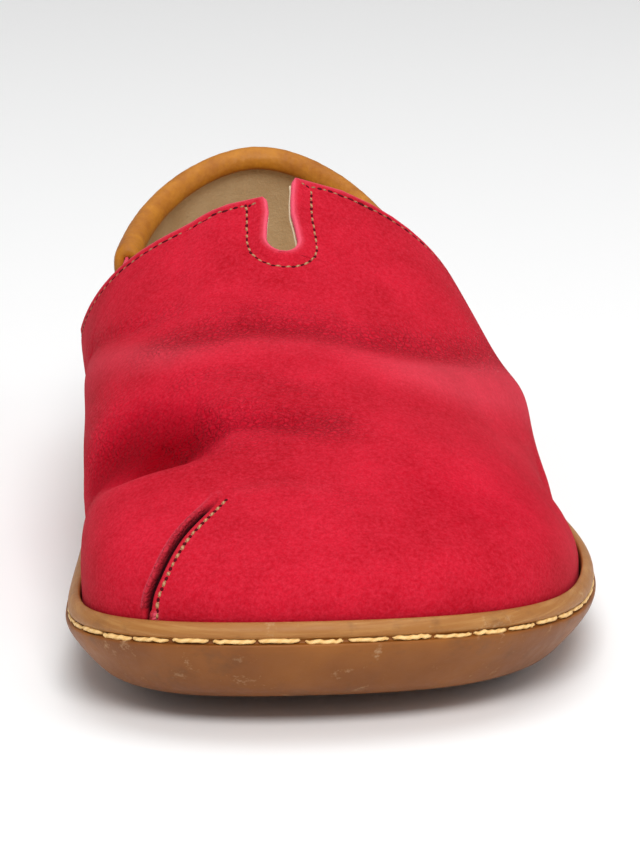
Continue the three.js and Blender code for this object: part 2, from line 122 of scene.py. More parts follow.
def addPiece(name, points, quads, material, replaced=(), layers=None, tris=None):
    # a closed mesh in the part's frame from points in mm, its faces looking outward, riding on the one body
    mesh = bpy.data.meshes.new(name)
    tris = np.zeros((0, 3), int) if tris is None else tris
    halves = np.concatenate([quads[:, [0, 1, 2]], quads[:, [0, 2, 3]], tris])
    if signedVolume(points, halves) < 0:
        quads, tris = quads[:, ::-1], tris[:, ::-1]
    corners = np.concatenate([np.ravel(quads), np.ravel(tris)]).astype(np.int32)
    sizes = np.concatenate([np.full(len(quads), 4), np.full(len(tris), 3)])
    mesh.vertices.add(len(points))
    mesh.vertices.foreach_set("co", (points * mm).astype(np.float32).ravel())
    mesh.loops.add(len(corners))
    mesh.loops.foreach_set("vertex_index", corners)
    mesh.polygons.add(len(sizes))
    mesh.polygons.foreach_set("loop_start", (np.cumsum(sizes) - sizes).astype(np.int32))
    mesh.update(calc_edges=True)
    mesh.validate()
    for layer, values in (layers or {}).items():
        attribute = mesh.attributes.new(layer, "FLOAT", "POINT")
        attribute.data.foreach_set("value", np.asarray(values, np.float32))
    mesh.shade_smooth()
    mesh.materials.append(material)
    obj = bpy.data.objects.new(name, mesh)
    bpy.context.scene.collection.objects.link(obj)
    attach(obj, "root")
    if replaced:
        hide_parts(*replaced)
    print(name, len(points), "points,", len(quads), "faces")
    return obj


# Camera, light and floor

camera = {
    "place": (-64.4, -855.6, 228.1), "yaw": 4.5, "pitch": 13.3,  # mm, degrees
    "lens": 185.8, "sensor": 36, "farthest": 20,
}
studio = {
    "lights": [
        # name, place m, aim m, width, height, watts
        ("key", (0.0, -1.3, 1.3), (0.0, -0.05, 0.04), 0.9, 0.6, 21.5),
        ("top", (0.1, 0.1, 1.5), (0.0, 0.0, 0.0), 1.2, 1.2, 9),
        ("left", (-1.3, -0.5, 0.6), (0.0, -0.03, 0.04), 0.8, 0.8, 0.5),
        ("right", (1.3, -0.4, 0.6), (0.0, -0.03, 0.04), 0.8, 0.8, 2.2),
    ],
    "air": "#FFFFFF", "airStrength": 0.42, "floor": "#F4F4F4", "floorSize": 6.0, "floorBelow": 0.0002,
}


def makeCamera():
    # looks along (sin yaw cos pitch, cos yaw cos pitch, -sin pitch)
    data = bpy.data.cameras.new("camera")
    data.lens = camera["lens"]
    data.sensor_width = camera["sensor"]
    data.clip_end = camera["farthest"]
    obj = bpy.data.objects.new("camera", data)
    obj.location = Vector(camera["place"]) * mm
    yaw, pitch = np.radians(camera["yaw"]), np.radians(camera["pitch"])
    look = Vector((np.sin(yaw) * np.cos(pitch), np.cos(yaw) * np.cos(pitch), -np.sin(pitch)))
    obj.rotation_euler = look.to_track_quat("-Z", "Y").to_euler()
    bpy.context.scene.collection.objects.link(obj)
    bpy.context.scene.camera = obj


def makeStudio():
    # soft lights aimed at the shoe, white air and a pale floor
    for name, place, aim, width, height, watts in studio["lights"]:
        data = bpy.data.lights.new(name, "AREA")
        data.shape = "RECTANGLE"
        data.size, data.size_y, data.energy = width, height, watts
        obj = bpy.data.objects.new(name, data)
        obj.location = place
        obj.rotation_euler = (Vector(aim) - Vector(place)).to_track_quat("-Z", "Y").to_euler()
        bpy.context.scene.collection.objects.link(obj)
    world = bpy.data.worlds.new("studio_air")
    world.use_nodes = True
    world.node_tree.nodes.clear()
    back = addNode(world.node_tree, "ShaderNodeBackground",
                   {"Color": linear(studio["air"]), "Strength": studio["airStrength"]})
    addNode(world.node_tree, "ShaderNodeOutputWorld", links={"Surface": back.outputs[0]})
    bpy.context.scene.world = world
    bpy.context.scene.view_settings.view_transform = "Standard"
    half = studio["floorSize"] / 2
    mesh = bpy.data.meshes.new("studio_floor")
    corners = [(-half, -half, 0), (half, -half, 0), (half, half, 0), (-half, half, 0)]
    mesh.from_pydata(corners, [], [(0, 1, 2, 3)])
    material, tree = newMaterial("matt_white_paper")
    finishMaterial(tree, addNode(tree, "ShaderNodeBsdfPrincipled",
                                 {"Base Color": linear(studio["floor"]), "Roughness": 0.9}))
    mesh.materials.append(material)
    floor = bpy.data.objects.new("studio_floor", mesh)
    floor.location.z = -studio["floorBelow"]
    bpy.context.scene.collection.objects.link(floor)


makeCamera()
makeStudio()
print("camera and studio ready")


# The last and the sole's edge

centreX = 1.43  # the tables' x less this is the part's x
sole = {
    # y, inner x, outer x of the edge
    "edge": [(-126, -33, 19.5), (-109, -46.7, 39), (-84, -48.6, 48.2), (-56, -46.3, 51.4), (-28, -43.6, 49.2),
             (2, -40.5, 45), (36, -37.5, 41), (70, -35.5, 37.5), (102, -31, 32), (123, -18.5, 19)],
    "toe": (-9, -131), "heel": (0, 131),
    "springFrom": -50, "toeSpring": 6.5, "rimAtBall": 15, "rimAtHeel": 18, "rimRun": 120,
    "archFrom": -15, "archTo": 50, "arch": 1.4, "floor": 7, "columns": 230, "edgeCount": 1440,
    # the moulding from under the sole, up its side and into the cup: inset, which height, up
    "profile": [(14, "ground", 0), (12, "ground", 0), (7.4, "ground", 1.5), (5, "ground", 3.6),
                (2.3, "ground", 6.6), (0.5, "rim", -5.9), (0, "rim", -4.6), (0, "rim", -4.2),
                (0.15, "rim", -3.95), (1.15, "rim", -3.8), (1.15, "rim", -3.1),
                (0.75, "rim", -2.85), (0.45, "rim", -2.6),
                (0.4, "rim", -2.0), (0.7, "rim", -1.1), (1.4, "rim", -0.3), (2.2, "rim", 0.0),
                (2.7, "rim", -0.25), (2.75, "rim", -1.2), (2.75, "floor", 2), (2.9, "floor", 0),
                (6, "floor", 0)],
    "archedFrom": 12, "brushedFrom": -3, "cornerCuts": 2,
}
last = {
    "inset": 3, "toeZone": 0.42, "heelZone": 0.7, "notchY": -23.5, "heelY": 60, "fanToe": -62, "fanHeel": 92,
    "spread": 0.15, "blend": 0.1, "rows": 84,
    # each tenth of the length from the toe: crest height and x, then lean, rise and swell of each side
    "sections": [
        (36, -10, 0.8, 0.8, 1, 0.85, 0.8, 1), (41, -10, 0.8, 0.8, 1, 0.95, 0.82, 0.5),
        (46.5, -9, 0.8, 0.8, 2, 1.2, 0.86, -1), (53.5, -8, 0.8, 0.82, 4, 1.35, 0.88, -4.2),
        (63.5, -6, 0.85, 0.88, 5.4, 1.3, 0.9, -0.3), (79, -4.5, 1, 0.96, 8, 1.3, 0.94, 0.1),
        (83, -3, 1.2, 0.96, 11, 1.33, 0.94, 0), (80, -1.5, 1.2, 0.9, 7, 1.35, 0.9, 0),
        (78, -1, 1.1, 0.8, 3.8, 1.2, 0.8, 0), (78, -2, 1, 0.78, 2.5, 1, 0.8, -0.3),
        (78, -3, 0.7, 0.78, 2.5, 0.7, 0.8, 2)],
    "names": ["crestZ", "crestX", "leanM", "riseM", "swellM", "leanL", "riseL", "swellL"],
}
opening = {
    "tips": {medial: (-10.5, 75, 2.6), lateral: (-5.5, 80, 2.3)},  # y, height, how fast it falls
    "dipY": 28, "dipZ": 41, "backY": 128, "backZ": 58.6, "backRise": 3.0,
    "notchX": -4.6, "notchRadius": 3.8, "ribSteps": 701,
    # half the notch's width at these y: it narrows to a neck and flares at the tips
    "neck": [(-19.7, 3.8), (-16.5, 3.45), (-13.5, 2.95), (-10, 3.15), (-6, 3.7), (-3, 4.1)],
}


splinePasses = 60


def splineWeights(f):
    # the cubic B-spline's four weights at fraction f between two knots
    g = 1 - f
    return [g ** 3 / 6, (3 * f ** 3 - 6 * f ** 2 + 4) / 6, (3 * g ** 3 - 6 * g ** 2 + 4) / 6, f ** 3 / 6]


def closedCurve(points, count):
    # a smooth closed loop through the points: controls c = (6p - c before - c after) / 4, in repeated passes
    p = np.asarray(points, float)
    c = p.copy()
    for _ in range(splinePasses):
        c = (6 * p - np.roll(c, 1, 0) - np.roll(c, -1, 0)) / 4
    t = np.linspace(0, len(p), count, endpoint=False)
    i = t.astype(int)
    return sum(w * c[(i + k - 1) % len(p)] for k, w in enumerate(splineWeights((t - i)[:, None])))


def openCurve(values, t):
    # the same through evenly spaced values, open at both ends, read at t from 0 to 1
    v = np.asarray(values, float)
    v = np.concatenate([[2 * v[0] - v[1]], v, [2 * v[-1] - v[-2]]])
    c = v.copy()
    for _ in range(splinePasses):
        c[1:-1] = (6 * v[1:-1] - c[:-2] - c[2:]) / 4
        c[0], c[-1] = 2 * c[1] - c[2], 2 * c[-2] - c[-3]
    m = len(v) - 3
    t = np.clip(t, 0, 1) * m
    i = np.minimum(t.astype(int), m - 1)
    f = t - i
    if c.ndim > 1:
        f = f[:, None]
    return sum(w * c[i + k] for k, w in enumerate(splineWeights(f)))


toeY, heelY = sole["toe"][1], sole["heel"][1]
edgePoints = ([sole["toe"]] + [(outer, y) for y, inner, outer in sole["edge"]] + [sole["heel"]]
              + [(inner, y) for y, inner, outer in sole["edge"][::-1]])
edgeLoop = closedCurve(np.array(edgePoints, float) - (centreX, 0), sole["edgeCount"])
insetKept = {}


def insetEdge(distance):
    # the sole's edge moved inwards along its normals, as one list a side from toe to heel
    if distance not in insetKept:
        along = unit(np.roll(edgeLoop, -1, 0) - np.roll(edgeLoop, 1, 0))
        loop = edgeLoop - np.stack([along[:, 1], -along[:, 0]], 1) * distance
        loop = np.roll(loop, -int(np.argmin(loop[:, 1])), 0)
        top = int(np.argmax(loop[:, 1]))
        insetKept[distance] = {lateral: loop[:top + 1], medial: np.concatenate([loop[top:], loop[:1]])[::-1]}
    return insetKept[distance]


def edgeX(distance, side, y):
    # x of the inset edge at y
    line = insetEdge(distance)[side]
    return np.interp(y, line[:, 1], line[:, 0])


def groundZ(y):
    # toe spring: a square law in front of the ball
    return sole["toeSpring"] * (np.clip(sole["springFrom"] - y, 0, None) / (sole["springFrom"] - toeY)) ** 2


def archZ(y):
    # the waist's lift: arch * sin(pi t)^2 along its length
    t = np.clip((y - sole["archFrom"]) / (sole["archTo"] - sole["archFrom"]), 0, 1)
    return sole["arch"] * np.sin(np.pi * t) ** 2


def rimZ(y):
    # the rim's height: from the ball's to the heel's, plus the toe spring
    t = smooth((y - sole["springFrom"]) / sole["rimRun"])
    return mix(sole["rimAtBall"], sole["rimAtHeel"], t) + groundZ(y)


def floorZ(y):
    # the cup's floor, level above the ground line
    return groundZ(y) + sole["floor"]


footEdge = insetEdge(last["inset"])
footLow, footHigh = footEdge[lateral][0, 1], footEdge[lateral][-1, 1]
sections = np.array(last["sections"], float)


def section(name, y):
    # one column of the table of sections, as a spline along the length
    return openCurve(sections[:, last["names"].index(name)], (y - toeY) / (heelY - toeY))


def station(u):
    # y of a rib's foot and of its crest at run u: quarter cosine and power in the fans, straight between
    zoneA, zoneB = last["toeZone"], last["heelZone"]

    def fan(s, start, foot, crest):
        ratio = abs(start - foot) * np.pi / 2 / abs(start - crest)
        power = (ratio - last["spread"]) / (1 - last["spread"])
        return (foot + (start - foot) * (1 - np.cos(np.pi / 2 * s)),
                crest + (start - crest) * (last["spread"] * s + (1 - last["spread"]) * s ** power))

    toeFoot, toeCrest = fan(np.clip(u / zoneA, 0, 1), last["notchY"], footLow, last["fanToe"])
    heelFoot, heelCrest = fan(np.clip((1 - u) / (1 - zoneB), 0, 1), last["heelY"], footHigh, last["fanHeel"])
    middle = mix(last["notchY"], last["heelY"], (u - zoneA) / (zoneB - zoneA))
    pick = [u < zoneA, u > zoneB]
    return np.select(pick, [toeFoot, heelFoot], middle), np.select(pick, [toeCrest, heelCrest], middle)


def runAt(y):
    # run u of the rib whose foot is at y, in the straight zone between the fans
    return mix(last["toeZone"], last["heelZone"], (y - last["notchY"]) / (last["heelY"] - last["notchY"]))


def lastPoint(side, u, w):
    # plan: foot + (crest - foot)(1 - cos(w)^lean) + outwards * swell * sin(1.5 w)
    # height: rim + (crest - rim) sin(w)^rise
    u, w = np.broadcast_arrays(u, w)
    footY, crestY = station(u)
    own, other = ("L", "M") if side == lateral else ("M", "L")
    share = 0.5 + 0.5 * smooth(u / last["blend"]) * smooth((1 - u) / last["blend"])
    lean, rise, swell = (mix(section(n + other, footY), section(n + own, footY), share)
                         for n in ("lean", "rise", "swell"))
    foot = np.stack([edgeX(last["inset"], side, footY), footY], -1)
    crest = np.stack([section("crestX", crestY) - centreX, crestY], -1)
    angle = np.pi / 2 * w
    along = 1 - np.abs(np.cos(angle)) ** lean
    plan = foot + (crest - foot) * along[..., None]
    plan = plan + unit(foot - crest) * (swell * np.sin(np.pi * np.minimum(1.5 * w, 1)))[..., None]
    base = rimZ(footY)
    height = base + (section("crestZ", plan[..., 1]) - base) * np.sin(angle) ** rise
    return np.concatenate([plan, height[..., None]], -1)


def toplineZ(side, y):
    # from the tip by a power down to the dip, then by a power up to the heel; none in front of the tip
    tipY, tipZ, fall = opening["tips"][side]
    front = np.clip((y - tipY) / (opening["dipY"] - tipY), 0, 1)
    back = np.clip((y - opening["dipY"]) / (opening["backY"] - opening["dipY"]), 0, 1)
    line = opening["dipZ"] + (tipZ - opening["dipZ"]) * (1 - front) ** fall
    line = line + (opening["backZ"] - opening["dipZ"]) * back ** opening["backRise"]
    return line + np.where(y < tipY, farAway, 0)


def leatherEnd(side, u, proud=0.0, proudNotch=0.0):
    # share of each rib that is leather: up to where it first crosses topline or notch, moved by their proud mm
    proud = np.broadcast_to(proud, u.shape)[:, None]
    w = np.linspace(0, 1, opening["ribSteps"])
    point = lastPoint(side, u[:, None], w)
    footY = station(u)[0][:, None]
    over = point[..., 2] - toplineZ(side, footY) - proud
    across = np.abs(point[..., 0] + centreX - opening["notchX"])
    past = point[..., 1] - last["notchY"] - opening["notchRadius"]
    neck = np.array(opening["neck"], float)
    half = np.interp(point[..., 1], neck[:, 0], neck[:, 1])
    inNotch = np.where(past < 0, opening["notchRadius"] - np.hypot(across, past), half - across) - proudNotch
    f = np.where(footY > opening["dipY"], over, np.maximum(over, inNotch))
    hit = f > 0
    k = np.where(hit.any(1), np.maximum(hit.argmax(1), 1), len(w) - 1)
    i = np.arange(len(u))
    before, after = f[i, k - 1], f[i, k]
    end = w[k - 1] + (w[1] - w[0]) * np.clip(-before / np.where(after > before, after - before, 1), 0, 1)
    return np.where((u <= last["toeZone"] + 1e-9) | ~hit.any(1), 1.0, end)


# Creases

creases = {
    # height mm (below 0 sinks), half width mm, crinkle of the skin, share of the route over which
    # each end fades, points on the surface
    "upperValley": (-0.75, 4.2, 1.0, 0.3, [(-29.8, -43.2, 52.1), (-23.6, -46.5, 53.7), (-16.4, -45.4, 54.4),
        (-8.4, -45.5, 54.3), (-0.4, -45.2, 53.4), (7.6, -45.3, 51.7), (16.9, -40.1, 48.7), (25, -34, 45.4),
        (34, -20, 43)]),
    "upperRidge": (0.6, 5.5, 0.1, 0.2, [(-33.9, -43, 49.3), (-26.2, -50.8, 52.1), (-16.7, -51.6, 52.9),
        (-8.9, -51.8, 52.3), (0.8, -50.4, 50.7), (9.8, -55.9, 49.3), (17.7, -56.2, 46.9), (25.4, -52, 43.5)]),
    "upperFine": (-0.2, 1.1, 0.45, 0.3, [(-24, -40, 55), (-16, -39, 57), (-6, -39, 57), (4, -40, 55)]),
    "innerRidge": (1.3, 5.0, 0.0, 0.35, [(-44.5, -12, 40), (-42.8, -24.5, 42.1), (-37.6, -37.2, 46.8),
        (-30.1, -49.4, 49.9), (-22, -58, 50)]),
    "innerFold": (-0.8, 2.2, 0.4, 0.3, [(-45, -2, 40), (-42, -14, 45), (-36, -26, 51), (-28, -32, 56)]),
    "trough": (-4.4, 11.5, 0.6, 0.3, [(-44.5, -54, 32), (-41, -64, 35), (-37, -70, 38), (-31.5, -76, 41),
        (-26, -79, 43), (-19.6, -79, 44)]),
    "troughEnd": (-1.3, 4.0, 1.0, 0.3, [(-27, -78, 43), (-19.6, -78.5, 44), (-14.2, -79, 44.3),
        (-8, -80.5, 44), (-2, -82, 43.5)]),
    "cellsHigh": (-0.15, 2.0, 0.5, 0.2, [(-27, -61, 47), (-19, -62, 48), (-11, -66, 47.5), (-5, -70, 46.5)]),
    "cellsLow": (-0.35, 2.0, 1.0, 0.2, [(-28, -82, 43), (-20, -80, 44), (-12, -80, 44)]),
    "outerRidge": (2.3, 7.0, 0.0, 0.35, [(8, -60, 48.5), (22, -51, 45), (33, -37, 40.5), (39, -25, 37),
        (42, -8, 35)]),
    "outerNip": (-1.3, 6.0, 0.0, 0.2, [(45, -36, 24), (44, -48, 24), (45, -62, 21)]),
    "outerHollow": (-1.3, 12.0, 0.0, 0.0, [(40, -74, 29), (30, -96, 33), (21, -101, 36)]),
    "toeRidge": (0.4, 2.2, 0.2, 0.2, [(-21.5, -104.1, 37.3), (-16.2, -102.9, 37.6), (-9.4, -102.7, 37.5),
        (-0.7, -105.6, 36.5)]),
}
fold = {
    # the deep fold over the inner ball: a front wall along this edge, a slow way out behind it
    "edge": [(-47, -66, 26), (-46.2, -81.8, 29.8), (-41.2, -90.6, 35.1), (-35.9, -92.7, 37.7),
             (-29.8, -92.8, 39.6), (-23, -90.7, 41.6), (-16.4, -84.1, 42.2), (-11.4, -81.9, 42.9)],
    "depth": 3.0, "steep": 6.2, "long": 17, "lip": 0.5, "lipWidth": 4.5, "fadeIn": 0.35, "fadeFrom": 0.45,
}
creaseEnds = {"least": 0.2, "crinkleWider": 2}  # share left at a crease's end; mm of crinkle past its width


def nearRoute(points, route, count=28):
    # for each point: distance to the smoothed route, the same with a sign (above 0 on its left), share along it
    r = np.asarray(route, float)
    if len(r) > 2:
        r = openCurve(r, np.linspace(0, 1, count))
    best = np.full(len(points), 1e9)
    signed, share = np.zeros(len(points)), np.zeros(len(points))
    for k in range(len(r) - 1):
        a, d = r[k], r[k + 1] - r[k]
        t = np.clip((points - a) @ d / (d @ d), 0, 1)
        away = points - a - t[:, None] * d
        distance = np.linalg.norm(away, axis=1)
        near = distance < best
        best = np.where(near, distance, best)
        signed = np.where(near, np.sign(d[0] * away[:, 1] - d[1] * away[:, 0]) * distance, signed)
        share = np.where(near, (k + t) / (len(r) - 1), share)
    return best, signed, share


def creaseRelief(points):
    # height = sum of h * exp(-(d / width)^2) over the routes, faded at their ends, plus the fold:
    # fade * (lip * exp(-(d / lipWidth)^2) - depth * (1 - exp(-(behind / steep)^2)) * exp(-(behind / long)^2))
    height, crinkle = np.zeros(len(points)), np.zeros(len(points))
    for rise, width, skin, ends, route in creases.values():
        d, _, share = nearRoute(points, route)
        bell = np.exp(-(d / width) ** 2)
        if ends:
            least = creaseEnds["least"]
            bell *= smooth(mix(least, 1, share / ends)) * smooth(mix(least, 1, (1 - share) / ends))
        height += rise * bell
        crinkle = np.maximum(crinkle, skin * np.exp(-(d / (width + creaseEnds["crinkleWider"])) ** 2))
    d, signed, share = nearRoute(points, fold["edge"])
    fade = smooth((1 - share) / (1 - fold["fadeFrom"])) * smooth(share / fold["fadeIn"])
    behind = np.clip(signed, 0, None)
    wall = (1 - np.exp(-(behind / fold["steep"]) ** 2)) * np.exp(-(behind / fold["long"]) ** 2)
    height += fade * (fold["lip"] * np.exp(-(d / fold["lipWidth"]) ** 2) - fold["depth"] * wall)
    return height, crinkle


# Sheets of leather

def crestRuns(share):
    # runs u whose crests stand evenly along the crest line, for shares 0 to 1 of the toe's zone
    u = np.linspace(0, last["toeZone"], 2000)
    crest = station(u)[1]
    return np.interp(mix(crest[0], crest[-1], share), crest, u)


def toeRuns(counts, centre, band, w):
    # columns of the toe: close together in a band round the dart, evening out to equal steps at the crest
    runs = [np.linspace(k, k + 1, n, endpoint=False) for k, n in enumerate(counts)]
    share = np.concatenate(runs + [[3.0]])
    low, high = centre - band, centre + band
    stops = [np.zeros_like(centre), low, high, np.full_like(centre, last["toeZone"])]
    k = np.minimum(share.astype(int), 2)[:, None]
    f = share[:, None] - k
    lows, highs = (np.choose(k, [s[None, :] for s in stops[i:i + 3]]) for i in (0, 1))
    foot = mix(lows, highs, f)
    crest = crestRuns(np.linspace(0, 1, len(share)))[:, None]
    even = vamp["evenFrom"]
    return mix(foot, crest, smooth((w[None, :] - even) / (1 - even)))


def joinGrids(grids, shares):
    # one mesh from a grid a side; where shares says, the inner side's grid uses the outer one's points
    outerGrid, innerGrid = grids[lateral], grids[medial]
    ids = {lateral: np.arange(outerGrid[..., 0].size).reshape(outerGrid.shape[:2])}
    ids[medial] = ids[lateral].size + np.arange(innerGrid[..., 0].size).reshape(innerGrid.shape[:2])
    for pick in shares:
        ids[medial][pick] = ids[lateral][pick]
    points = np.concatenate([outerGrid.reshape(-1, 3), innerGrid.reshape(-1, 3)])
    used, back = np.unique(np.concatenate([ids[lateral].ravel(), ids[medial].ravel()]), return_inverse=True)
    ids[lateral] = back[:ids[lateral].size].reshape(ids[lateral].shape)
    ids[medial] = back[ids[lateral].size:].reshape(ids[medial].shape)
    quads = np.concatenate([gridQuads(ids[lateral]), gridQuads(ids[medial], flip=True)])
    return points[used], quads, ids


def thicken(points, quads, loops, thickness, lipSteps=5):
    # outer face, inner face at -normal * thickness, and along each open loop a half-round edge:
    # edge + out * sin(a) * half - normal * (1 - cos(a)) * half
    normal = vertexNormals(points, quads)
    n = len(points)
    parts, faces = [points, points - normal * thickness], [quads, quads[:, ::-1] + n]
    start = 2 * n
    source = [np.arange(n), np.arange(n)]
    for loop in loops:
        edge = points[loop]
        along = unit(np.roll(edge, -1, 0) - np.roll(edge, 1, 0))
        out = unit(np.cross(along, normal[loop]))
        angle = np.linspace(0, np.pi, lipSteps + 2)[1:-1, None, None]
        half = thickness / 2
        lip = edge + out * (np.sin(angle) * half) - normal[loop] * (half * (1 - np.cos(angle)))
        count = len(loop)
        lipIds = start + np.arange(lipSteps * count).reshape(lipSteps, count)
        rows = np.concatenate([loop[None], lipIds, loop[None] + n])
        rows = np.concatenate([rows, rows[:, :1]], 1)
        faces.append(gridQuads(rows.T, flip=True))
        parts.append(lip.reshape(-1, 3))
        source.append(np.tile(loop, lipSteps))
        start += lipSteps * count
    return np.concatenate(parts), np.concatenate(faces), np.concatenate(source), normal


def joinedLoop(*runs):
    # a closed loop of vertex numbers from runs laid end to end, without repeats where they meet
    ring = np.concatenate(runs)
    return ring[ring != np.roll(ring, 1)]


vamp = {
    "thickness": 1.5, "seamY": 50, "skirt": 4.0, "skirtRows": 3,
    "toeColumns": (14, 40, 84), "band": 0.019, "evenFrom": 0.55,
    # columns from the notch's end to its flank, to the inner tip, to the outer tip, to the seam
    "rearColumns": (16, 12, 8, 44),
}
dart = {
    # middle of the groove as shares of the run u and of the rib w
    "route": [(0.0978, 0.0), (0.0965, 0.06), (0.0945, 0.13), (0.0912, 0.21), (0.0878, 0.319), (0.0835, 0.403),
              (0.077, 0.468), (0.0695, 0.526), (0.0635, 0.572)],
    "groove": 0.9, "grooveWidth": 0.38, "ridge": 0.9, "ridgeAt": 0.95, "ridgeWidth": 0.7,
    "roll": 0.3, "rollAt": -1.0, "rollWidth": 0.9, "edgeAt": 1.6,
    "steps": 40, "belowRim": 5, "shrinkOver": 0.25, "shrinkTo": 0.15,
}
lipOfNotch = {"height": 0.7, "width": 1.7}
sewnDip = {  # where the rows pull the leather in: distance from the edge, depth, half width
    "notch": (3.0, 0.22, 0.7), "top": (1.5, 0.18, 0.6),
}


def vampGrids():
    # ribs of the last from its edge up to the leather's end, with a skirt that hangs down into the cup
    rows = np.linspace(0, 1, last["rows"])
    d = np.array(dart["route"])
    flankY = last["notchY"] + opening["notchRadius"]
    tipY = {side: opening["tips"][side][0] for side in (medial, lateral)}
    toFlank, toInner, toOuter, toSeam = vamp["rearColumns"]
    bend = np.pi / 2 * np.linspace(0, 1, toFlank, endpoint=False)[1:]
    rear = np.concatenate([
        last["notchY"] + opening["notchRadius"] * (1 - np.cos(bend)),
        np.linspace(flankY, tipY[medial], toInner, endpoint=False),
        np.linspace(tipY[medial], tipY[lateral], toOuter, endpoint=False),
        np.linspace(tipY[lateral], vamp["seamY"], toSeam)])
    grids = {}
    for side in (lateral, medial):
        centre = np.interp(rows, d[:, 1], d[:, 0]) if side == medial else np.full_like(rows, d[-1, 0])
        front = toeRuns(vamp["toeColumns"], centre, vamp["band"], rows)
        u = np.concatenate([front, np.broadcast_to(runAt(rear)[:, None], (len(rear), len(rows)))])
        end = leatherEnd(side, u[:, -1])
        body = lastPoint(side, u, end[:, None] * rows)
        drop = np.linspace(vamp["skirt"], 0, vamp["skirtRows"], endpoint=False)
        skirt = np.repeat(body[:, :1], len(drop), 1)
        skirt[..., 2] -= drop
        grids[side] = np.concatenate([skirt, body], 1)
    return grids


toeCount = sum(vamp["toeColumns"]) + 1
vampPoints, vampQuads, vampIds = joinGrids(vampGrids(), [(0, slice(None)), (slice(0, toeCount), -1)])
vampNormal = vertexNormals(vampPoints, vampQuads)
relief, crinkle = creaseRelief(vampPoints)
vampPoints = vampPoints + vampNormal * relief[:, None]
topLoop = {side: ids[toeCount - 1:, -1] for side, ids in vampIds.items()}
o, i = vampIds[lateral], vampIds[medial]
vampLoop = joinedLoop(o[:, 0], o[-1, :], topLoop[lateral][::-1],
                      topLoop[medial], i[-1, :][::-1], i[:, 0][::-1])


def nearest(points, cloud, slab=200):
    # number of the nearest of the cloud's points, in slabs to keep the memory small
    found = np.empty(len(points), int)
    for a in range(0, len(points), slab):
        d = ((points[a:a + slab, None, :] - cloud[None]) ** 2).sum(-1)
        found[a:a + slab] = d.argmin(1)
    return found


def distanceTo(points, line, reach=12):
    # distance from each point to a polyline, for the points within reach of its box
    low, high = line.min(0) - reach, line.max(0) + reach
    inside = ((points > low) & (points < high)).all(1)
    d = np.full(len(points), farAway)
    best = np.full(inside.sum(), farAway)
    p = points[inside]
    for a, b in zip(line[:-1], line[1:]):
        step = b - a
        t = np.clip((p - a) @ step / max(step @ step, 1e-9), 0, 1)
        best = np.minimum(best, np.linalg.norm(p - a - t[:, None] * step, axis=1))
    d[inside] = best
    return d


edgeLine = {side: vampPoints[topLoop[side]] for side in (medial, lateral)}
tipColumn = {medial: sum(vamp["rearColumns"][:2]) - 1, lateral: sum(vamp["rearColumns"][:3]) - 1}
notchLine = np.concatenate([edgeLine[medial][:tipColumn[medial] + 1][::-1],
                            edgeLine[lateral][1:tipColumn[lateral] + 1]])
vampNormal = vertexNormals(vampPoints, vampQuads)
toNotch = distanceTo(vampPoints, notchLine)
toTop = np.minimum(distanceTo(vampPoints, edgeLine[medial][tipColumn[medial]:]),
                   distanceTo(vampPoints, edgeLine[lateral][tipColumn[lateral]:]))


# Dart

# the folded seam: a ridge beside a groove, each exp(-((signed distance - at) / width)^power), lower at the tip
dartRuns = np.array(dart["route"])
dartLine = openCurve(lastPoint(medial, dartRuns[:, 0], dartRuns[:, 1]), np.linspace(0, 1, dart["steps"]))
dartLift = creaseRelief(dartLine)[0]
dartLine = dartLine + vampNormal[nearest(dartLine, vampPoints)] * dartLift[:, None]
longLine = np.concatenate([dartLine[:1] + unit(dartLine[0] - dartLine[1]) * dart["belowRim"], dartLine])
fromDart, signed, share = nearRoute(vampPoints, longLine, 70)
shrink = mix(dart["shrinkTo"], 1, smooth((1 - share) / dart["shrinkOver"]))
groove = np.exp(-(signed / dart["grooveWidth"]) ** 2) * shrink
ridge = np.exp(-((signed - dart["ridgeAt"]) / dart["ridgeWidth"]) ** 4) * shrink
roll = np.exp(-((signed - dart["rollAt"]) / dart["rollWidth"]) ** 2) * shrink
dartRelief = dart["ridge"] * ridge + dart["roll"] * roll - dart["groove"] * groove
notchLip = lipOfNotch["height"] * np.exp(-(toNotch / lipOfNotch["width"]) ** 2)
sewn = sum(depth * np.exp(-((away - at) / width) ** 2)
           for away, (at, depth, width) in ((toNotch, sewnDip["notch"]), (toTop, sewnDip["top"])))
bodyPoints, bodyNormal = vampPoints, vampNormal  # before the seam's own relief
vampPoints = vampPoints + vampNormal * (dartRelief + notchLip - sewn)[:, None]
vampShell, vampFaces, vampSource, vampNormal = thicken(vampPoints, vampQuads, [vampLoop], vamp["thickness"])
print("vamp shaped")


# Quarter

quarter = {
    "thickness": 0.8, "under": 0.8, "tuck": 9, "tuckUnder": 1.3, "tuckDrop": 1.6, "tuckEase": 3, "easeOut": 7,
    "columns": 96, "rows": 46, "skirt": 4.0,
}


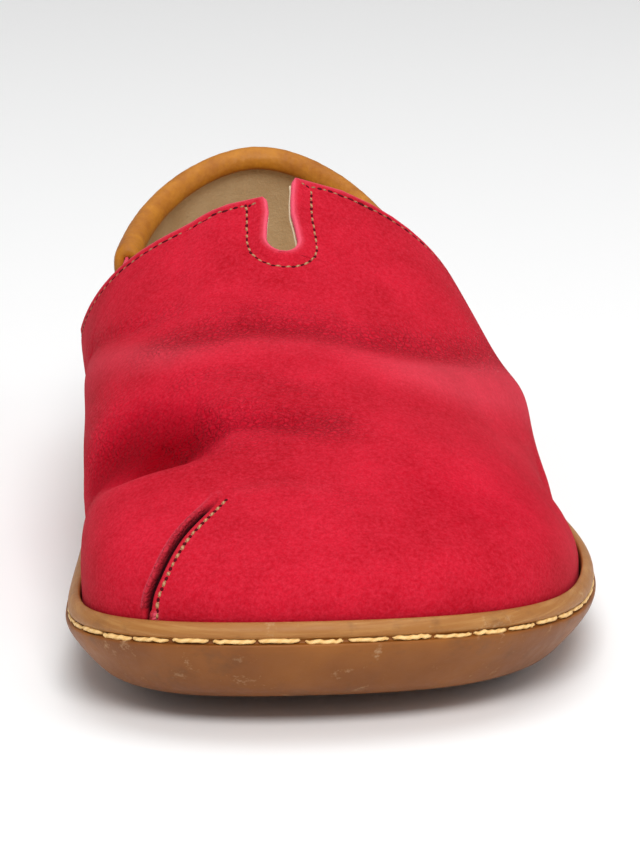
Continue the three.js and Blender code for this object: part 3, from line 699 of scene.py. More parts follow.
def quarterMesh():
    # the last's surface less a depth, greater where it is tucked under the vamp and easing out behind it
    rows = np.linspace(0, 1, quarter["rows"])
    start = runAt(vamp["seamY"] - quarter["tuck"])
    u = mix(start, 1.0, np.linspace(0, 1, quarter["columns"]))
    behind = station(u)[0] - vamp["seamY"]
    drop = quarter["tuckDrop"] * smooth(1 - behind / quarter["tuckEase"])
    sides = {}
    for side in (lateral, medial):
        body = lastPoint(side, u[:, None], leatherEnd(side, u, -drop)[:, None] * rows)
        skirt = body[:, :1].copy()
        skirt[..., 2] -= quarter["skirt"]
        sides[side] = np.concatenate([skirt, body], 1)
    points, quads, ids = joinGrids(sides, [(-1, slice(None))])
    normal = vertexNormals(points, quads)
    eased = smooth((points[:, 1] - vamp["seamY"]) / quarter["easeOut"])
    depth = mix(quarter["tuckUnder"], quarter["under"], eased)
    follow = creaseRelief(points)[0] * smooth((vamp["seamY"] - points[:, 1]) / quarter["tuckEase"])
    points = points + normal * (follow - depth)[:, None]
    o, i = ids[lateral], ids[medial]
    loop = joinedLoop(o[:, 0], i[:, 0][::-1], i[0, :], i[:, -1], o[:, -1][::-1], o[0, :][::-1])
    return points, quads, loop


quarterPoints, quarterQuads, quarterLoop = quarterMesh()
quarterShell, quarterFaces = thicken(quarterPoints, quarterQuads, [quarterLoop], quarter["thickness"])[:2]


# Lining

lining = {
    "under": 1.6, "thickness": 0.8, "rows": 60, "skirtRows": 3, "downTo": 3.4,
    "columns": {"toe": 66, "notch": 24, "middle": 90, "heel": 70}, "notchRun": 8,
    # how far it stands past the leather: along the top, in the notch, and under the roll at the heel
    "proudTop": 0.45, "proudNotch": {lateral: 0.85, medial: 0.05},
    "heelDrop": 0.6, "heelFrom": 76, "heelEase": 6,
}


def liningMesh():
    # the whole inside of the last, under the leather, from the footbed up to a little past the leather's edge
    rows = np.linspace(0, 1, lining["rows"])
    columns, notchRun = lining["columns"], lining["notchRun"]
    front = crestRuns(np.linspace(0, 1, columns["toe"], endpoint=False))
    even = np.linspace(0, last["toeZone"], columns["toe"], endpoint=False)
    toe = mix(even[:, None], front[:, None], smooth(rows))
    notch = runAt(last["notchY"] + notchRun * np.linspace(0, 1, columns["notch"], endpoint=False) ** 2)
    middle = runAt(np.linspace(last["notchY"] + notchRun, last["heelY"], columns["middle"], endpoint=False))
    back = np.concatenate([notch, middle, mix(last["heelZone"], 1.0, np.linspace(0, 1, columns["heel"]))])
    u = np.concatenate([toe, np.broadcast_to(back[:, None], (len(back), len(rows)))])
    atHeel = smooth((station(back)[0] - lining["heelFrom"]) / lining["heelEase"])
    proud = mix(lining["proudTop"], -lining["heelDrop"], atHeel)
    sides = {}
    for side in (lateral, medial):
        end = np.concatenate([np.ones(len(toe)), leatherEnd(side, back, proud, lining["proudNotch"][side])])
        body = lastPoint(side, u, end[:, None] * rows)
        base = floorZ(body[:, :1, 1]) + lining["downTo"]
        skirt = np.repeat(body[:, :1], lining["skirtRows"], 1)
        skirt[..., 2] = mix(base, body[:, :1, 2], np.linspace(0, 1, lining["skirtRows"], endpoint=False))
        sides[side] = np.concatenate([skirt, body], 1)
    n = len(front) + 1
    points, quads, ids = joinGrids(sides, [(0, slice(None)), (-1, slice(None)), (slice(0, n), -1)])
    normal = vertexNormals(points, quads)
    notchLift = lipOfNotch["height"] * np.exp(-(distanceTo(points, notchLine) / lipOfNotch["width"]) ** 2)
    points = points + normal * (creaseRelief(points)[0] + notchLift)[:, None]
    normal = vertexNormals(points, quads)
    points = points - normal * lining["under"]
    o, i = ids[lateral], ids[medial]
    foot = joinedLoop(o[:, 0], i[:, 0][::-1])
    top = joinedLoop(i[n - 1:, -1], o[n - 1:, -1][::-1])
    return points, quads, [foot, top]


liningPoints, liningQuads, liningLoops = liningMesh()
liningShell, liningFaces = thicken(liningPoints, liningQuads, liningLoops, lining["thickness"])[:2]
print("quarter and lining shaped")


# Collar binding

binding = {
    # (out from the last, up from the leather's edge): the roll's skin, and its face against the leather
    "skin": [(0.2, -5.9), (1.0, -5.3), (1.5, -3.4), (1.75, -1.2), (1.55, 0.7), (0.7, 2.2), (-0.6, 2.85),
             (-2.1, 2.65), (-3.4, 1.6), (-4.0, 0.2), (-3.8, -0.8), (-3.3, -1.35), (-2.9, -1.6)],
    "face": [(-0.45, -5.8), (-0.45, -4.0), (-0.5, -2.5), (-0.5, -1.0), (-0.5, 0.0), (-0.8, 0.25),
             (-1.3, 0.35), (-1.8, 0.35), (-2.3, 0.25), (-2.65, 0.0), (-2.7, -0.5), (-2.7, -1.0), (-2.7, -1.5)],
    "from": 0.7643,  # the run u where it begins on both sides
    "steps": 26, "stations": 230, "endRun": 1.6, "endSize": 0.86, "sewnAt": 4,
    "pucker": 0.03, "ripples": [(0.5, 0.62, 0), (0.35, 0.41, 1.7), (0.5, 1.35, 0.6)],  # share, run mm, phase
}
ribStep = 2e-3  # a short step down a rib, as a share of it


def lastNormal(side, u, w):
    # outwards: (surface step along u) x (surface step along w), made unit length
    step = ribStep / 2
    du = lastPoint(side, np.minimum(u + step, 1), w) - lastPoint(side, np.maximum(u - step, 0), w)
    dw = lastPoint(side, u, np.minimum(w + step, 1)) - lastPoint(side, u, np.maximum(w - step, 0))
    return unit(np.cross(du, dw)) * side


def bindingMesh():
    # the section is carried along the leather's edge round the heel: point = wall + normal * out + rib * up,
    # and below the edge it follows the wall down the ribs
    t = np.linspace(0, 1, binding["steps"])
    skin, face = openCurve(binding["skin"], t), openCurve(binding["face"], t)
    section = np.concatenate([skin, face[::-1]])
    n = binding["stations"]
    rings, anchors = [], []
    shares = {lateral: np.linspace(0, 1, n // 2, endpoint=False), medial: np.linspace(1, 0, n // 2)}
    for side, share in shares.items():
        u = mix(binding["from"], 1.0, share)
        end = leatherEnd(side, u)
        edge = lastPoint(side, u, end)
        back = lastPoint(side, u, end - ribStep)
        reach = np.linalg.norm(edge - back, axis=1) / ribStep
        upward = unit(edge - back)
        out, up = section[None, :, 0], section[None, :, 1]
        w = end[:, None] + np.minimum(up, 0) / reach[:, None]
        runs = np.broadcast_to(u[:, None], w.shape)
        point = lastPoint(side, runs, w) + lastNormal(side, runs, w) * out[..., None]
        rings.append(point + upward[:, None] * np.maximum(up, 0)[..., None])
        anchors.append(edge)
    points, line = np.concatenate(rings), np.concatenate(anchors)
    travelled = np.concatenate([[0], np.cumsum(np.linalg.norm(np.diff(line, axis=0), axis=1))])
    # small puckers across the roll, of uneven spacing, as height = sum of sines of the way travelled
    ripple = sum(a * np.sin(travelled / p + s) for a, p, s in binding["ripples"])
    centre = points.mean(1, keepdims=True)
    away = unit(points - centre)
    bulge = np.zeros(len(section))
    bulge[:len(skin)] = np.sin(np.pi * t) ** 0.7
    points = points + away * (binding["pucker"] * ripple[:, None] * bulge[None])[..., None]
    ends = smooth(np.minimum(travelled, travelled[-1] - travelled) / binding["endRun"])
    return mix(centre, points, mix(binding["endSize"], 1, ends)[:, None, None])


bindingRings = bindingMesh()
skinCount = binding["steps"]
bindingIds = np.arange(bindingRings[..., 0].size).reshape(bindingRings.shape[:2])
bindingQuads = gridQuads(np.concatenate([bindingIds, bindingIds[:, :1]], 1), flip=True)


def endCap(ring, flip):
    # closes a section with a ladder of quads between its skin and its face
    a, b = ring[:skinCount], ring[skinCount:][::-1]
    q = np.stack([a[:-1], a[1:], b[1:], b[:-1]], -1)
    return q[:, ::-1] if flip else q


bindingFaces = np.concatenate([bindingQuads, endCap(bindingIds[0], True), endCap(bindingIds[-1], False)])
bindingPoints = bindingRings.reshape(-1, 3)
acrossSkin = np.concatenate([np.linspace(0, 1, skinCount), np.full(skinCount, 0.5)])
around = np.tile(acrossSkin, len(bindingRings))
print("binding shaped")


# Outsole and footbed

tread = {
    "depth": 0.9, "pitch": 7.5, "wave": 2.2, "waveRun": 4.5, "across": 44, "cupAcross": 10,
    "landFrom": 0.35, "landEase": 0.3,  # the flat between two grooves, and its flanks, as cosines
    "margin": 0.09, "from": -112, "to": 118, "ease": 6, "plainAt": 12, "plainHalf": 26,
}
footbed = {
    "profile": [(5.8, 0.4), (5.8, 3.9), (6.3, 4.7), (7.6, 4.9), (10, 4.55), (14, 4.1), (19, 3.8)],
    "across": 26, "acrossBelow": 4, "columns": 120, "cornerCuts": 2,
    # middle x and y, half width, half length, depth: heel, ball, big toe
    "prints": [(0, 92, 20, 26, 0.8), (2, -52, 30, 26, 0.7), (-14, -88, 10, 10, 0.35)],
    "printFrom": 7, "printEase": 9,
}


def footPrint(points):
    # the foot's print in the footbed: sum of depth * exp(-(dx / width)^2 - (dy / length)^2)
    x, y = points[..., 0], points[..., 1]
    return np.sum([deep * np.exp(-((x - px) / wide) ** 2 - ((y - py) / long) ** 2)
                   for px, py, wide, long, deep in footbed["prints"]], 0)


def rounded(rows, times):
    # cuts each corner of a polyline at a quarter and three quarters of its sides, again and again
    p = np.asarray(rows, float)
    for _ in range(times):
        cut = np.stack([0.75 * p[:-1] + 0.25 * p[1:], 0.25 * p[:-1] + 0.75 * p[1:]], 1)
        p = np.concatenate([p[:1], cut.reshape(-1, p.shape[1]), p[-1:]])
    return p


def ringAt(inset, columns):
    # one ring of an inset edge, up the outer side and down the inner one: y = low + run (1 - cos(pi k / n)) / 2
    edge = insetEdge(round(float(inset), 4))
    low, high = edge[lateral][0, 1], edge[lateral][-1, 1]
    y = low + (high - low) * (1 - np.cos(np.pi * np.arange(columns + 1) / columns)) / 2
    out, back = (np.stack([np.interp(y, edge[side][:, 1], edge[side][:, 0]), y], -1)
                 for side in (lateral, medial))
    return np.concatenate([out, back[1:-1][::-1]])


def ladder(ring, columns, across):
    # a sheet of quads across a ring: its points between the outer and the inner side at each station
    out, back = ring[1:columns], ring[columns + 1:][::-1]
    share = np.linspace(0, 1, across + 1)[None, 1:-1, None]
    return mix(out[:, None], back[:, None], share)


def ladderQuads(ringIds, inner, columns, turned):
    # joins the ladder's points to the ring by quads, and by a fan of triangles at each of its two ends
    out, back = ringIds[1:columns], ringIds[columns + 1:][::-1]
    grid = np.concatenate([out[:, None], inner, back[:, None]], 1)
    q = gridQuads(grid, turned)
    row, tip = grid[0], ringIds[0]
    first = np.stack([row[:-1], row[1:]], -1)
    row, end = grid[-1], ringIds[columns]
    final = np.stack([row[1:], row[:-1]], -1)
    tris = np.concatenate([np.insert(first, 0, tip, 1), np.insert(final, 0, end, 1)])
    return q, tris[:, ::-1] if turned else tris


def treadDepth(inner):
    # wavy grooves: depth * smooth(cos(2 pi (y + wave sin(x / waveRun)) / pitch)), none at edge, tips and waist
    x, y = inner[..., 0], inner[..., 1]
    phase = (y + tread["wave"] * np.sin(x / tread["waveRun"])) / tread["pitch"]
    line = smooth((np.cos(2 * np.pi * phase) - tread["landFrom"]) / tread["landEase"])
    shares = np.linspace(0, 1, tread["across"] + 1)[1:-1]
    margin = smooth(np.minimum(shares, 1 - shares) / tread["margin"])
    tips = smooth(np.minimum(y - tread["from"], tread["to"] - y) / tread["ease"])
    waist = 1 - smooth((tread["plainHalf"] - np.abs(y - tread["plainAt"])) / tread["ease"])
    return tread["depth"] * line * margin * tips * waist


def soleMesh():
    # rings of the moulding, each at an inset and its base's height + up, closed by ladders below and in the cup
    rows = []
    for inset, base, up in sole["profile"]:
        arched = base == "ground" and inset >= sole["archedFrom"]
        onRim = base == "rim" and up > sole["brushedFrom"]
        rows.append([inset, base == "ground", base == "rim", base == "floor", up, arched, onRim])
    rows = rounded(rows, sole["cornerCuts"])
    n = sole["columns"]
    rings, rimBand = [], []
    for inset, ground, rim, floor, up, arch, band in rows:
        plan = ringAt(inset, n)
        y = plan[:, 1]
        z = ground * groundZ(y) + rim * rimZ(y) + floor * floorZ(y) + up + arch * archZ(y)
        rings.append(np.column_stack([plan, z]))
        rimBand.append(np.full(len(plan), band))
    points = np.concatenate(rings)
    ids = np.arange(len(points)).reshape(len(rings), -1)
    quads, tris = [gridQuads(np.concatenate([ids, ids[:, :1]], 1).T)], []
    extra, start = [points], len(points)
    for ring, across, turned in ((0, tread["across"], True), (-1, tread["cupAcross"], False)):
        inner = ladder(rings[ring], n, across)
        if ring == 0:
            inner[..., 2] += treadDepth(inner)
        innerIds = start + np.arange(inner[..., 0].size).reshape(inner.shape[:2])
        q, t = ladderQuads(ids[ring], innerIds, n, turned)
        quads.append(q)
        tris.append(t)
        extra.append(inner.reshape(-1, 3))
        start += inner[..., 0].size
    band = np.zeros(start)
    band[:len(points)] = np.concatenate(rimBand)
    return np.concatenate(extra), np.concatenate(quads), np.concatenate(tris), band


solePoints, soleQuads, soleTris, soleBand = soleMesh()


def footbedMesh():
    # rings of its edge at inset and floor + up, closed by a ladder on top with the foot's print, and one below
    n = footbed["columns"]
    rows = rounded(footbed["profile"], footbed["cornerCuts"])
    rings = []
    for inset, up in rows:
        plan = ringAt(inset, n)
        rings.append(np.column_stack([plan, floorZ(plan[:, 1]) + up]))
    points = np.concatenate(rings)
    ids = np.arange(len(points)).reshape(len(rings), -1)
    quads = [gridQuads(np.concatenate([ids, ids[:, :1]], 1).T)]
    inner = ladder(rings[-1], n, footbed["across"])
    inner[..., 2] -= footPrint(inner)
    inset = np.repeat([row[0] for row in rows], len(rings[0]))
    points[:, 2] -= footPrint(points) * smooth((inset - footbed["printFrom"]) / footbed["printEase"])
    innerIds = len(points) + np.arange(inner[..., 0].size).reshape(inner.shape[:2])
    q, t = ladderQuads(ids[-1], innerIds, n, False)
    low = ladder(rings[0], n, footbed["acrossBelow"])
    lowIds = len(points) + inner[..., 0].size + np.arange(low[..., 0].size).reshape(low.shape[:2])
    lowQuads, lowTris = ladderQuads(ids[0], lowIds, n, True)
    return (np.concatenate([points, inner.reshape(-1, 3), low.reshape(-1, 3)]),
            np.concatenate(quads + [q, lowQuads]), np.concatenate([t, lowTris]))


footbedPoints, footbedQuads, footbedTris = footbedMesh()
print("sole and footbed shaped")


# Stitches

def travelledAlong(path):
    # way travelled at each point of a path: the running sum of its steps
    return np.concatenate([[0], np.cumsum(np.linalg.norm(np.diff(path, axis=0), axis=1))])


def placeAt(path, length, at):
    # the path's points where the way travelled is at
    return np.stack([np.interp(at, length, path[:, k]) for k in range(3)], -1)


def resample(path, count):
    # the path again as count points at even steps
    length = travelledAlong(path)
    return placeAt(path, length, np.linspace(0, length[-1], count))


def evenly(path, pitch, look=0.3):
    # stations at the middles of even steps along a path: places and directions
    length = travelledAlong(path)
    count = max(int(length[-1] / pitch), 2)
    at = (np.arange(count) + 0.5) * length[-1] / count
    ahead, behind = placeAt(path, length, at + look), placeAt(path, length, at - look)
    return placeAt(path, length, at), unit(ahead - behind)


beadSides = 8


def beadTemplate(rings, sides, blunt):
    # a closed bead from -1 to 1: radius (1 - |s|^blunt)^(1/2), as rings of points (along, across, up)
    s = np.cos(np.linspace(np.pi, 0, rings)) * 0.995
    r = np.sqrt(np.clip(1 - np.abs(s) ** blunt, 0, 1))[:, None]
    a = 2 * np.pi * np.arange(sides) / sides
    points = np.stack(np.broadcast_arrays(s[:, None], r * np.cos(a), r * np.sin(a)), -1).reshape(-1, 3)
    ids = np.arange(rings * sides).reshape(rings, sides)
    quads = [gridQuads(np.concatenate([ids, ids[:, :1]], 1))]
    for ring, flip in ((ids[0], False), (ids[-1], True)):
        for corners in ([0, 1, 2, 3], [0, 3, 4, 7], [4, 5, 6, 7]):
            q = ring[corners]
            quads.append((q[::-1] if flip else q)[None])
    return points, np.concatenate(quads)


def beads(place, along, up, size, jitter, rings=7, lift=0.0, sag=0.0):
    # one bead a station: half length, half width and half height in mm; jitter spreads its turn, size and place
    points, quads = beadTemplate(rings, beadSides, 4)
    up = unit(up - along * (up * along).sum(1, keepdims=True))
    across = np.cross(up, along)
    wobble = chance.normal(0, 1, (len(place), 4)) * jitter
    turn = wobble[:, :1] * 0.5
    a, b = along * np.cos(turn) + across * np.sin(turn), across * np.cos(turn) - along * np.sin(turn)
    long, wide, high = size
    scale = 1 + wobble[:, 1:3]
    p = (points[None, :, :1] * long * scale[:, None, :1] * a[:, None]
         + points[None, :, 1:2] * wide * scale[:, None, 1:] * b[:, None]
         + (points[None, :, 2:] * high - sag * points[None, :, :1] ** 2) * up[:, None])
    p = p + (place + up * lift + across * (wobble[:, 3:] * wide))[:, None]
    shift = (np.arange(len(place)) * len(points))[:, None, None]
    twist = np.tile(points[:, 0] * long, len(place))
    angle = np.tile(np.arctan2(points[:, 2], points[:, 1]), len(place))
    return p.reshape(-1, 3), (quads[None] + shift).reshape(-1, 4), twist, angle


def merged(parts):
    # several bead lists as one
    shifts = np.cumsum([0] + [len(p[0]) for p in parts[:-1]])
    quads = [p[1] + s for p, s in zip(parts, shifts)]
    points, twist, angle = ([p[k] for p in parts] for k in (0, 2, 3))
    return np.concatenate(points), np.concatenate(quads), np.concatenate(twist), np.concatenate(angle)


def onVamp(points):
    # each point dropped onto the tangent plane at the nearest of the vamp's points
    k = nearest(points, vampPoints)
    n = vampNormal[k]
    return points - n * ((points - vampPoints[k]) * n).sum(1, keepdims=True), n


def besideEdge(line, distance, side):
    # a line moved by distance * (normal x along), to the hand that side gives, and laid on the vamp
    k = nearest(line, vampPoints)
    along = unit(np.gradient(line, axis=0))
    inward = unit(np.cross(vampNormal[k], along)) * side
    return onVamp(line + inward * distance)[0]


stitching = {
    # mm from the edge or line, pitch, half sizes of a stitch, lift, share of painted shade, half sizes of a
    # hole
    "top": {"from": 1.5, "pitch": 2.3, "size": (0.55, 0.24, 0.16), "lift": -0.02, "shade": 0.6,
            "hole": (0.72, 0.42, 0.09)},
    "notch": {"from": 3.0, "pitch": 1.95, "size": (0.6, 0.25, 0.18), "lift": 0.02, "shade": 0.38,
              "hole": (0.5, 0.32, 0.09), "pastTips": {lateral: 0.4, medial: 0.2}},
    "seam": {"from": 2.3, "pitch": 2.4, "size": (0.8, 0.25, 0.2), "lift": 0.02, "shade": 0.35,
             "hole": (0.45, 0.3, 0.08)},
    "dart": {"from": -1.55, "pitch": 1.9, "size": (0.66, 0.27, 0.2), "lift": 0.02, "shade": 0.3,
             "hole": (0.42, 0.28, 0.09)},
    "collar": {"pitch": 2.5, "size": (0.85, 0.27, 0.24), "lift": 0.05, "shade": 0.2, "jitter": 0.08},
    "jitter": 0.1, "holeJitter": 0.08, "sag": 0.12,
}


def notchPath():
    # beside the notch's edge, in plan: two flanks x = middle +- ((neck + radius) / 2 + from), and a bend
    row = stitching["notch"]
    radius = opening["notchRadius"]
    neck = np.array(opening["neck"], float)
    middle, flankY = opening["notchX"] - centreX, last["notchY"] + radius
    y = {side: np.linspace(opening["tips"][side][0] - row["pastTips"][side], flankY, n)
         for side, n in ((lateral, 12), (medial, 10))}
    out = {side: (np.interp(y[side], neck[:, 0], neck[:, 1]) + radius) / 2 + row["from"] for side in y}
    angle = np.linspace(0, -np.pi, 20)[1:-1]
    bend = (middle, flankY) + (radius + row["from"]) * np.column_stack([np.cos(angle), np.sin(angle)])
    plan = np.concatenate([np.column_stack([middle + out[lateral], y[lateral]]), bend,
                           np.column_stack([middle - out[medial], y[medial]])[::-1]])
    k = nearest(plan, vampPoints[:, :2])
    v, n = vampPoints[k], vampNormal[k]
    z = v[:, 2] - ((plan - v[:, :2]) * n[:, :2]).sum(1) / n[:, 2]
    return np.column_stack([plan, z])


threadParts, threadShades, holeParts = [], [], []


def sewRow(kind, line):
    # stitches at their pitch along a line on the vamp, and dark beads where they go in, the holes' painted
    # shadow
    s = stitching[kind]
    place, along = evenly(line, s["pitch"])
    place, up = onVamp(place)
    threadParts.append(beads(place, along, up, s["size"], stitching["jitter"], lift=s["lift"],
                             sag=stitching["sag"]))
    threadShades.append(np.full(len(threadParts[-1][0]), s["shade"]))
    gap, up = onVamp(place + along * s["pitch"] / 2)
    holeParts.append(beads(gap, along, up, s["hole"], stitching["holeJitter"], rings=4))


for side in (medial, lateral):
    top = resample(edgeLine[side][tipColumn[side] + 1:], 90)
    sewRow("top", besideEdge(top, stitching["top"]["from"], -side))
    seam = resample(vampPoints[vampIds[side][-1]][vamp["skirtRows"]:], 60)
    sewRow("seam", besideEdge(seam, stitching["seam"]["from"], side)[2:-2])
sewRow("notch", notchPath())
dartRow = resample(dartLine, 50)
dartUp = bodyNormal[nearest(dartRow, bodyPoints)]
dartAlong = unit(np.gradient(dartRow, axis=0))
dartRow = onVamp(dartRow + unit(np.cross(dartUp, dartAlong)) * stitching["dart"]["from"])[0]
sewRow("dart", dartRow)
holePoints, holeQuads = merged(holeParts)[:2]

# the collar's row, on the outer leg of the binding
collarPlace, collarAlong = evenly(bindingRings[3:-3, binding["sewnAt"]], stitching["collar"]["pitch"])
collarUp = vertexNormals(bindingPoints, bindingQuads)[nearest(collarPlace, bindingPoints)]
collarPart = beads(collarPlace, collarAlong, collarUp, stitching["collar"]["size"],
                   stitching["collar"]["jitter"], lift=stitching["collar"]["lift"], sag=stitching["sag"])

soleThread = {
    "inset": 0.7, "down": 3.42, "pitch": 7.8, "size": (3.6, 0.38, 0.36), "rings": 15, "blunt": 8, "look": 0.5,
    # spreads of length, of thickness and of drift up or down, these two within a stitch and between stitches
    "longer": 0.04, "fatter": (0.05, 0.1), "drift": (0.07, 0.1), "dip": 0.35,
}


def bentBeads(path, thread):
    # long stitches that follow a closed path:
    # place(way) + up * (high * radius * cos a + drift) + out * (deep * radius * sin a - dip * s^6)
    closed = np.concatenate([path, path[:1]])
    length = travelledAlong(closed)
    total, rings = length[-1], thread["rings"]
    count = int(total / thread["pitch"])
    long, high, deep = thread["size"]
    points, quads = beadTemplate(rings, beadSides, thread["blunt"])
    s = points.reshape(rings, beadSides, 3)
    centre = (np.arange(count) + 0.5) * total / count
    stretch = 1 + chance.normal(0, thread["longer"], (count, 1))
    at = (centre[:, None] + s[None, :, 0, 0] * long * stretch) % total
    ahead, behind = (placeAt(closed, length, (at + step) % total) for step in (thread["look"], -thread["look"]))
    along = unit(ahead - behind)
    out = unit(np.stack([along[..., 1], -along[..., 0], np.zeros_like(at)], -1))
    up = np.cross(out, along)
    fat, drift = (chance.normal(0, within, (count, rings)) + chance.normal(0, between, (count, 1))
                  for within, between in (thread["fatter"], thread["drift"]))
    fat = 1 + fat[..., None]
    dip = -thread["dip"] * np.abs(s[None, :, 0, 0]) ** 6
    p = (placeAt(closed, length, at) + out * dip[..., None] + up * drift[..., None])[:, :, None]
    p = (p + up[:, :, None] * (s[None, :, :, 1] * high * fat)[..., None]
         + out[:, :, None] * (s[None, :, :, 2] * deep * fat)[..., None])
    shift = (np.arange(count) * len(points))[:, None, None]
    twist = np.repeat(at[..., None], beadSides, 2).ravel()
    angle = np.tile(np.arctan2(points[:, 2], points[:, 1]), count)
    return p.reshape(-1, 3), (quads[None] + shift).reshape(-1, 4), twist, angle


grooveRing = ringAt(soleThread["inset"], 360)
grooveRing = np.column_stack([grooveRing, rimZ(grooveRing[:, 1]) - soleThread["down"]])
solePart = bentBeads(grooveRing, soleThread)
print("stitches laid")


# Materials

def redNubuck(raw):
    # nubuck: full-grain leather buffed to a short nap; a soft, dry, mottled red, pale on raw edges;
    # ridges pale from rubbed wear and a painted highlight; painted shade in troughs, dart groove and crinkle
    # lines;
    # a real nap, under 0.1 mm, wouldn't show in the render, so it is drawn in grains of 0.4 and 0.8 mm;
    # the crinkle of bent skin is a net of 1.1 mm cells, bent by a 2.4 mm noise
    material, tree = newMaterial("red_nubuck_leather" if raw else "red_nubuck_quarter")
    place = addNode(tree, "ShaderNodeTexCoord").outputs["Object"]
    crease, skin, cut, dark = (addNode(tree, "ShaderNodeAttribute", {"attribute_name": layer}).outputs["Fac"]
                               for layer in ("relief", "crinkle", "cutEdge", "paintedShade"))
    clouds = addNode(tree, "ShaderNodeTexNoise", {"Scale": sized(16.67), "Detail": 6.0, "Roughness": 0.6},
                     {"Vector": place})
    nap = addNode(tree, "ShaderNodeTexNoise", {"Scale": sized(0.769), "Detail": 4.0, "Roughness": 0.7},
                  {"Vector": place})
    specks = addNode(tree, "ShaderNodeTexNoise", {"Scale": sized(0.4167), "Detail": 2.0, "Roughness": 0.6},
                     {"Vector": place})
    patchy = addNode(tree, "ShaderNodeMapRange", {"From Min": 0.35, "From Max": 0.68},
                     {"Value": clouds.outputs["Fac"]})
    base = addNode(tree, "ShaderNodeMix", {"data_type": "RGBA", 6: linear("#A80419"), 7: linear("#C8162E")},
                   {0: patchy.outputs[0]})
    grainy = addNode(tree, "ShaderNodeMapRange", {"From Min": 0.36, "From Max": 0.66, "To Max": 0.42},
                     {"Value": nap.outputs["Fac"]})
    worn = addNode(tree, "ShaderNodeMix", {"data_type": "RGBA", 7: linear("#D83348")},
                   {0: grainy.outputs[0], 6: base.outputs[2]})
    fine = addNode(tree, "ShaderNodeMapRange", {"From Min": 0.6, "From Max": 0.35, "To Max": 0.35},
                   {"Value": specks.outputs["Fac"]})
    pores = addNode(tree, "ShaderNodeMix", {"data_type": "RGBA", 7: linear("#98061A")},
                    {0: fine.outputs[0], 6: worn.outputs[2]})
    # painted shade in the troughs: the deeper the relief sinks, the more it goes to a dark red
    low = addNode(tree, "ShaderNodeMapRange", {"From Min": -0.9, "From Max": -4.6, "To Max": 0.85},
                  {"Value": crease})
    troughShade = addNode(tree, "ShaderNodeMix", {"data_type": "RGBA", 7: linear("#7C0008")},
                   {0: low.outputs[0], 6: pores.outputs[2]})
    # paler on raised relief: rubbed wear and a painted highlight on the ridges
    high = addNode(tree, "ShaderNodeMapRange", {"From Min": 0.1, "From Max": 1.6, "To Max": 0.24},
                   {"Value": crease})
    rubbedAndHighlit = addNode(tree, "ShaderNodeMix", {"data_type": "RGBA", 7: linear("#E45A6A")},
                     {0: high.outputs[0], 6: troughShade.outputs[2]})
    drift = addNode(tree, "ShaderNodeTexNoise", {"Scale": sized(2.381), "Detail": 2.0}, {"Vector": place})
    warped = addNode(tree, "ShaderNodeVectorMath", {"operation": "MULTIPLY_ADD", 1: (0.0016, 0.0016, 0.0016)},
                     {0: drift.outputs["Color"], 2: place})
    cells = addNode(tree, "ShaderNodeTexVoronoi",
                    {"feature": "DISTANCE_TO_EDGE", "Scale": sized(1.136), "Randomness": 1.0},
                    {"Vector": warped.outputs[0]})
    wrinkle = addNode(tree, "ShaderNodeMapRange", {"From Max": 0.3}, {"Value": cells.outputs["Distance"]})
    # painted shade in the crinkle's fine creases: its cell lines are darkened where the skin crinkles
    seam = addNode(tree, "ShaderNodeMapRange", {"From Min": 0.16, "From Max": 0.0, "To Max": 0.38},
                   {"Value": cells.outputs["Distance"]})
    crinkleLineShade = addNode(tree, "ShaderNodeMath", {"operation": "MULTIPLY"}, {0: seam.outputs[0], 1: skin})
    lined = addNode(tree, "ShaderNodeMix", {"data_type": "RGBA", 7: linear("#7A0412")},
                    {0: crinkleLineShade.outputs[0], 6: rubbedAndHighlit.outputs[2]})
    # painted shade in the dart's groove, and a little on its ridge
    shade = addNode(tree, "ShaderNodeMix", {"data_type": "RGBA", 7: linear("#2A040A")},
                    {0: dark, 6: lined.outputs[2]})
    edge = addNode(tree, "ShaderNodeMix", {"data_type": "RGBA", 7: linear("#E25A70")},
                   {0: cut, 6: shade.outputs[2]})
    masked = addNode(tree, "ShaderNodeMath", {"operation": "MULTIPLY"}, {0: wrinkle.outputs[0], 1: skin})
    summed = addNode(tree, "ShaderNodeMath", {"operation": "MULTIPLY_ADD", 1: 0.3},
                     {0: nap.outputs["Fac"], 2: masked.outputs[0]})
    bump = addNode(tree, "ShaderNodeBump", {"Strength": 0.7, "Distance": 0.0007},
                   {"Height": summed.outputs[0]})
    gloss = addNode(tree, "ShaderNodeMapRange", {"From Min": -2.0, "From Max": 0.0, "To Max": 0.09},
                    {"Value": crease})
    shader = addNode(tree, "ShaderNodeBsdfPrincipled",
                     {"Roughness": 0.85, "Sheen Weight": 0.03, "Sheen Roughness": 0.4,
                      "Sheen Tint": linear("#FF9AA6")},
                     {"Base Color": edge.outputs[2], "Normal": bump.outputs[0],
                      "Specular IOR Level": gloss.outputs[0]})
    finishMaterial(tree, shader)
    return material


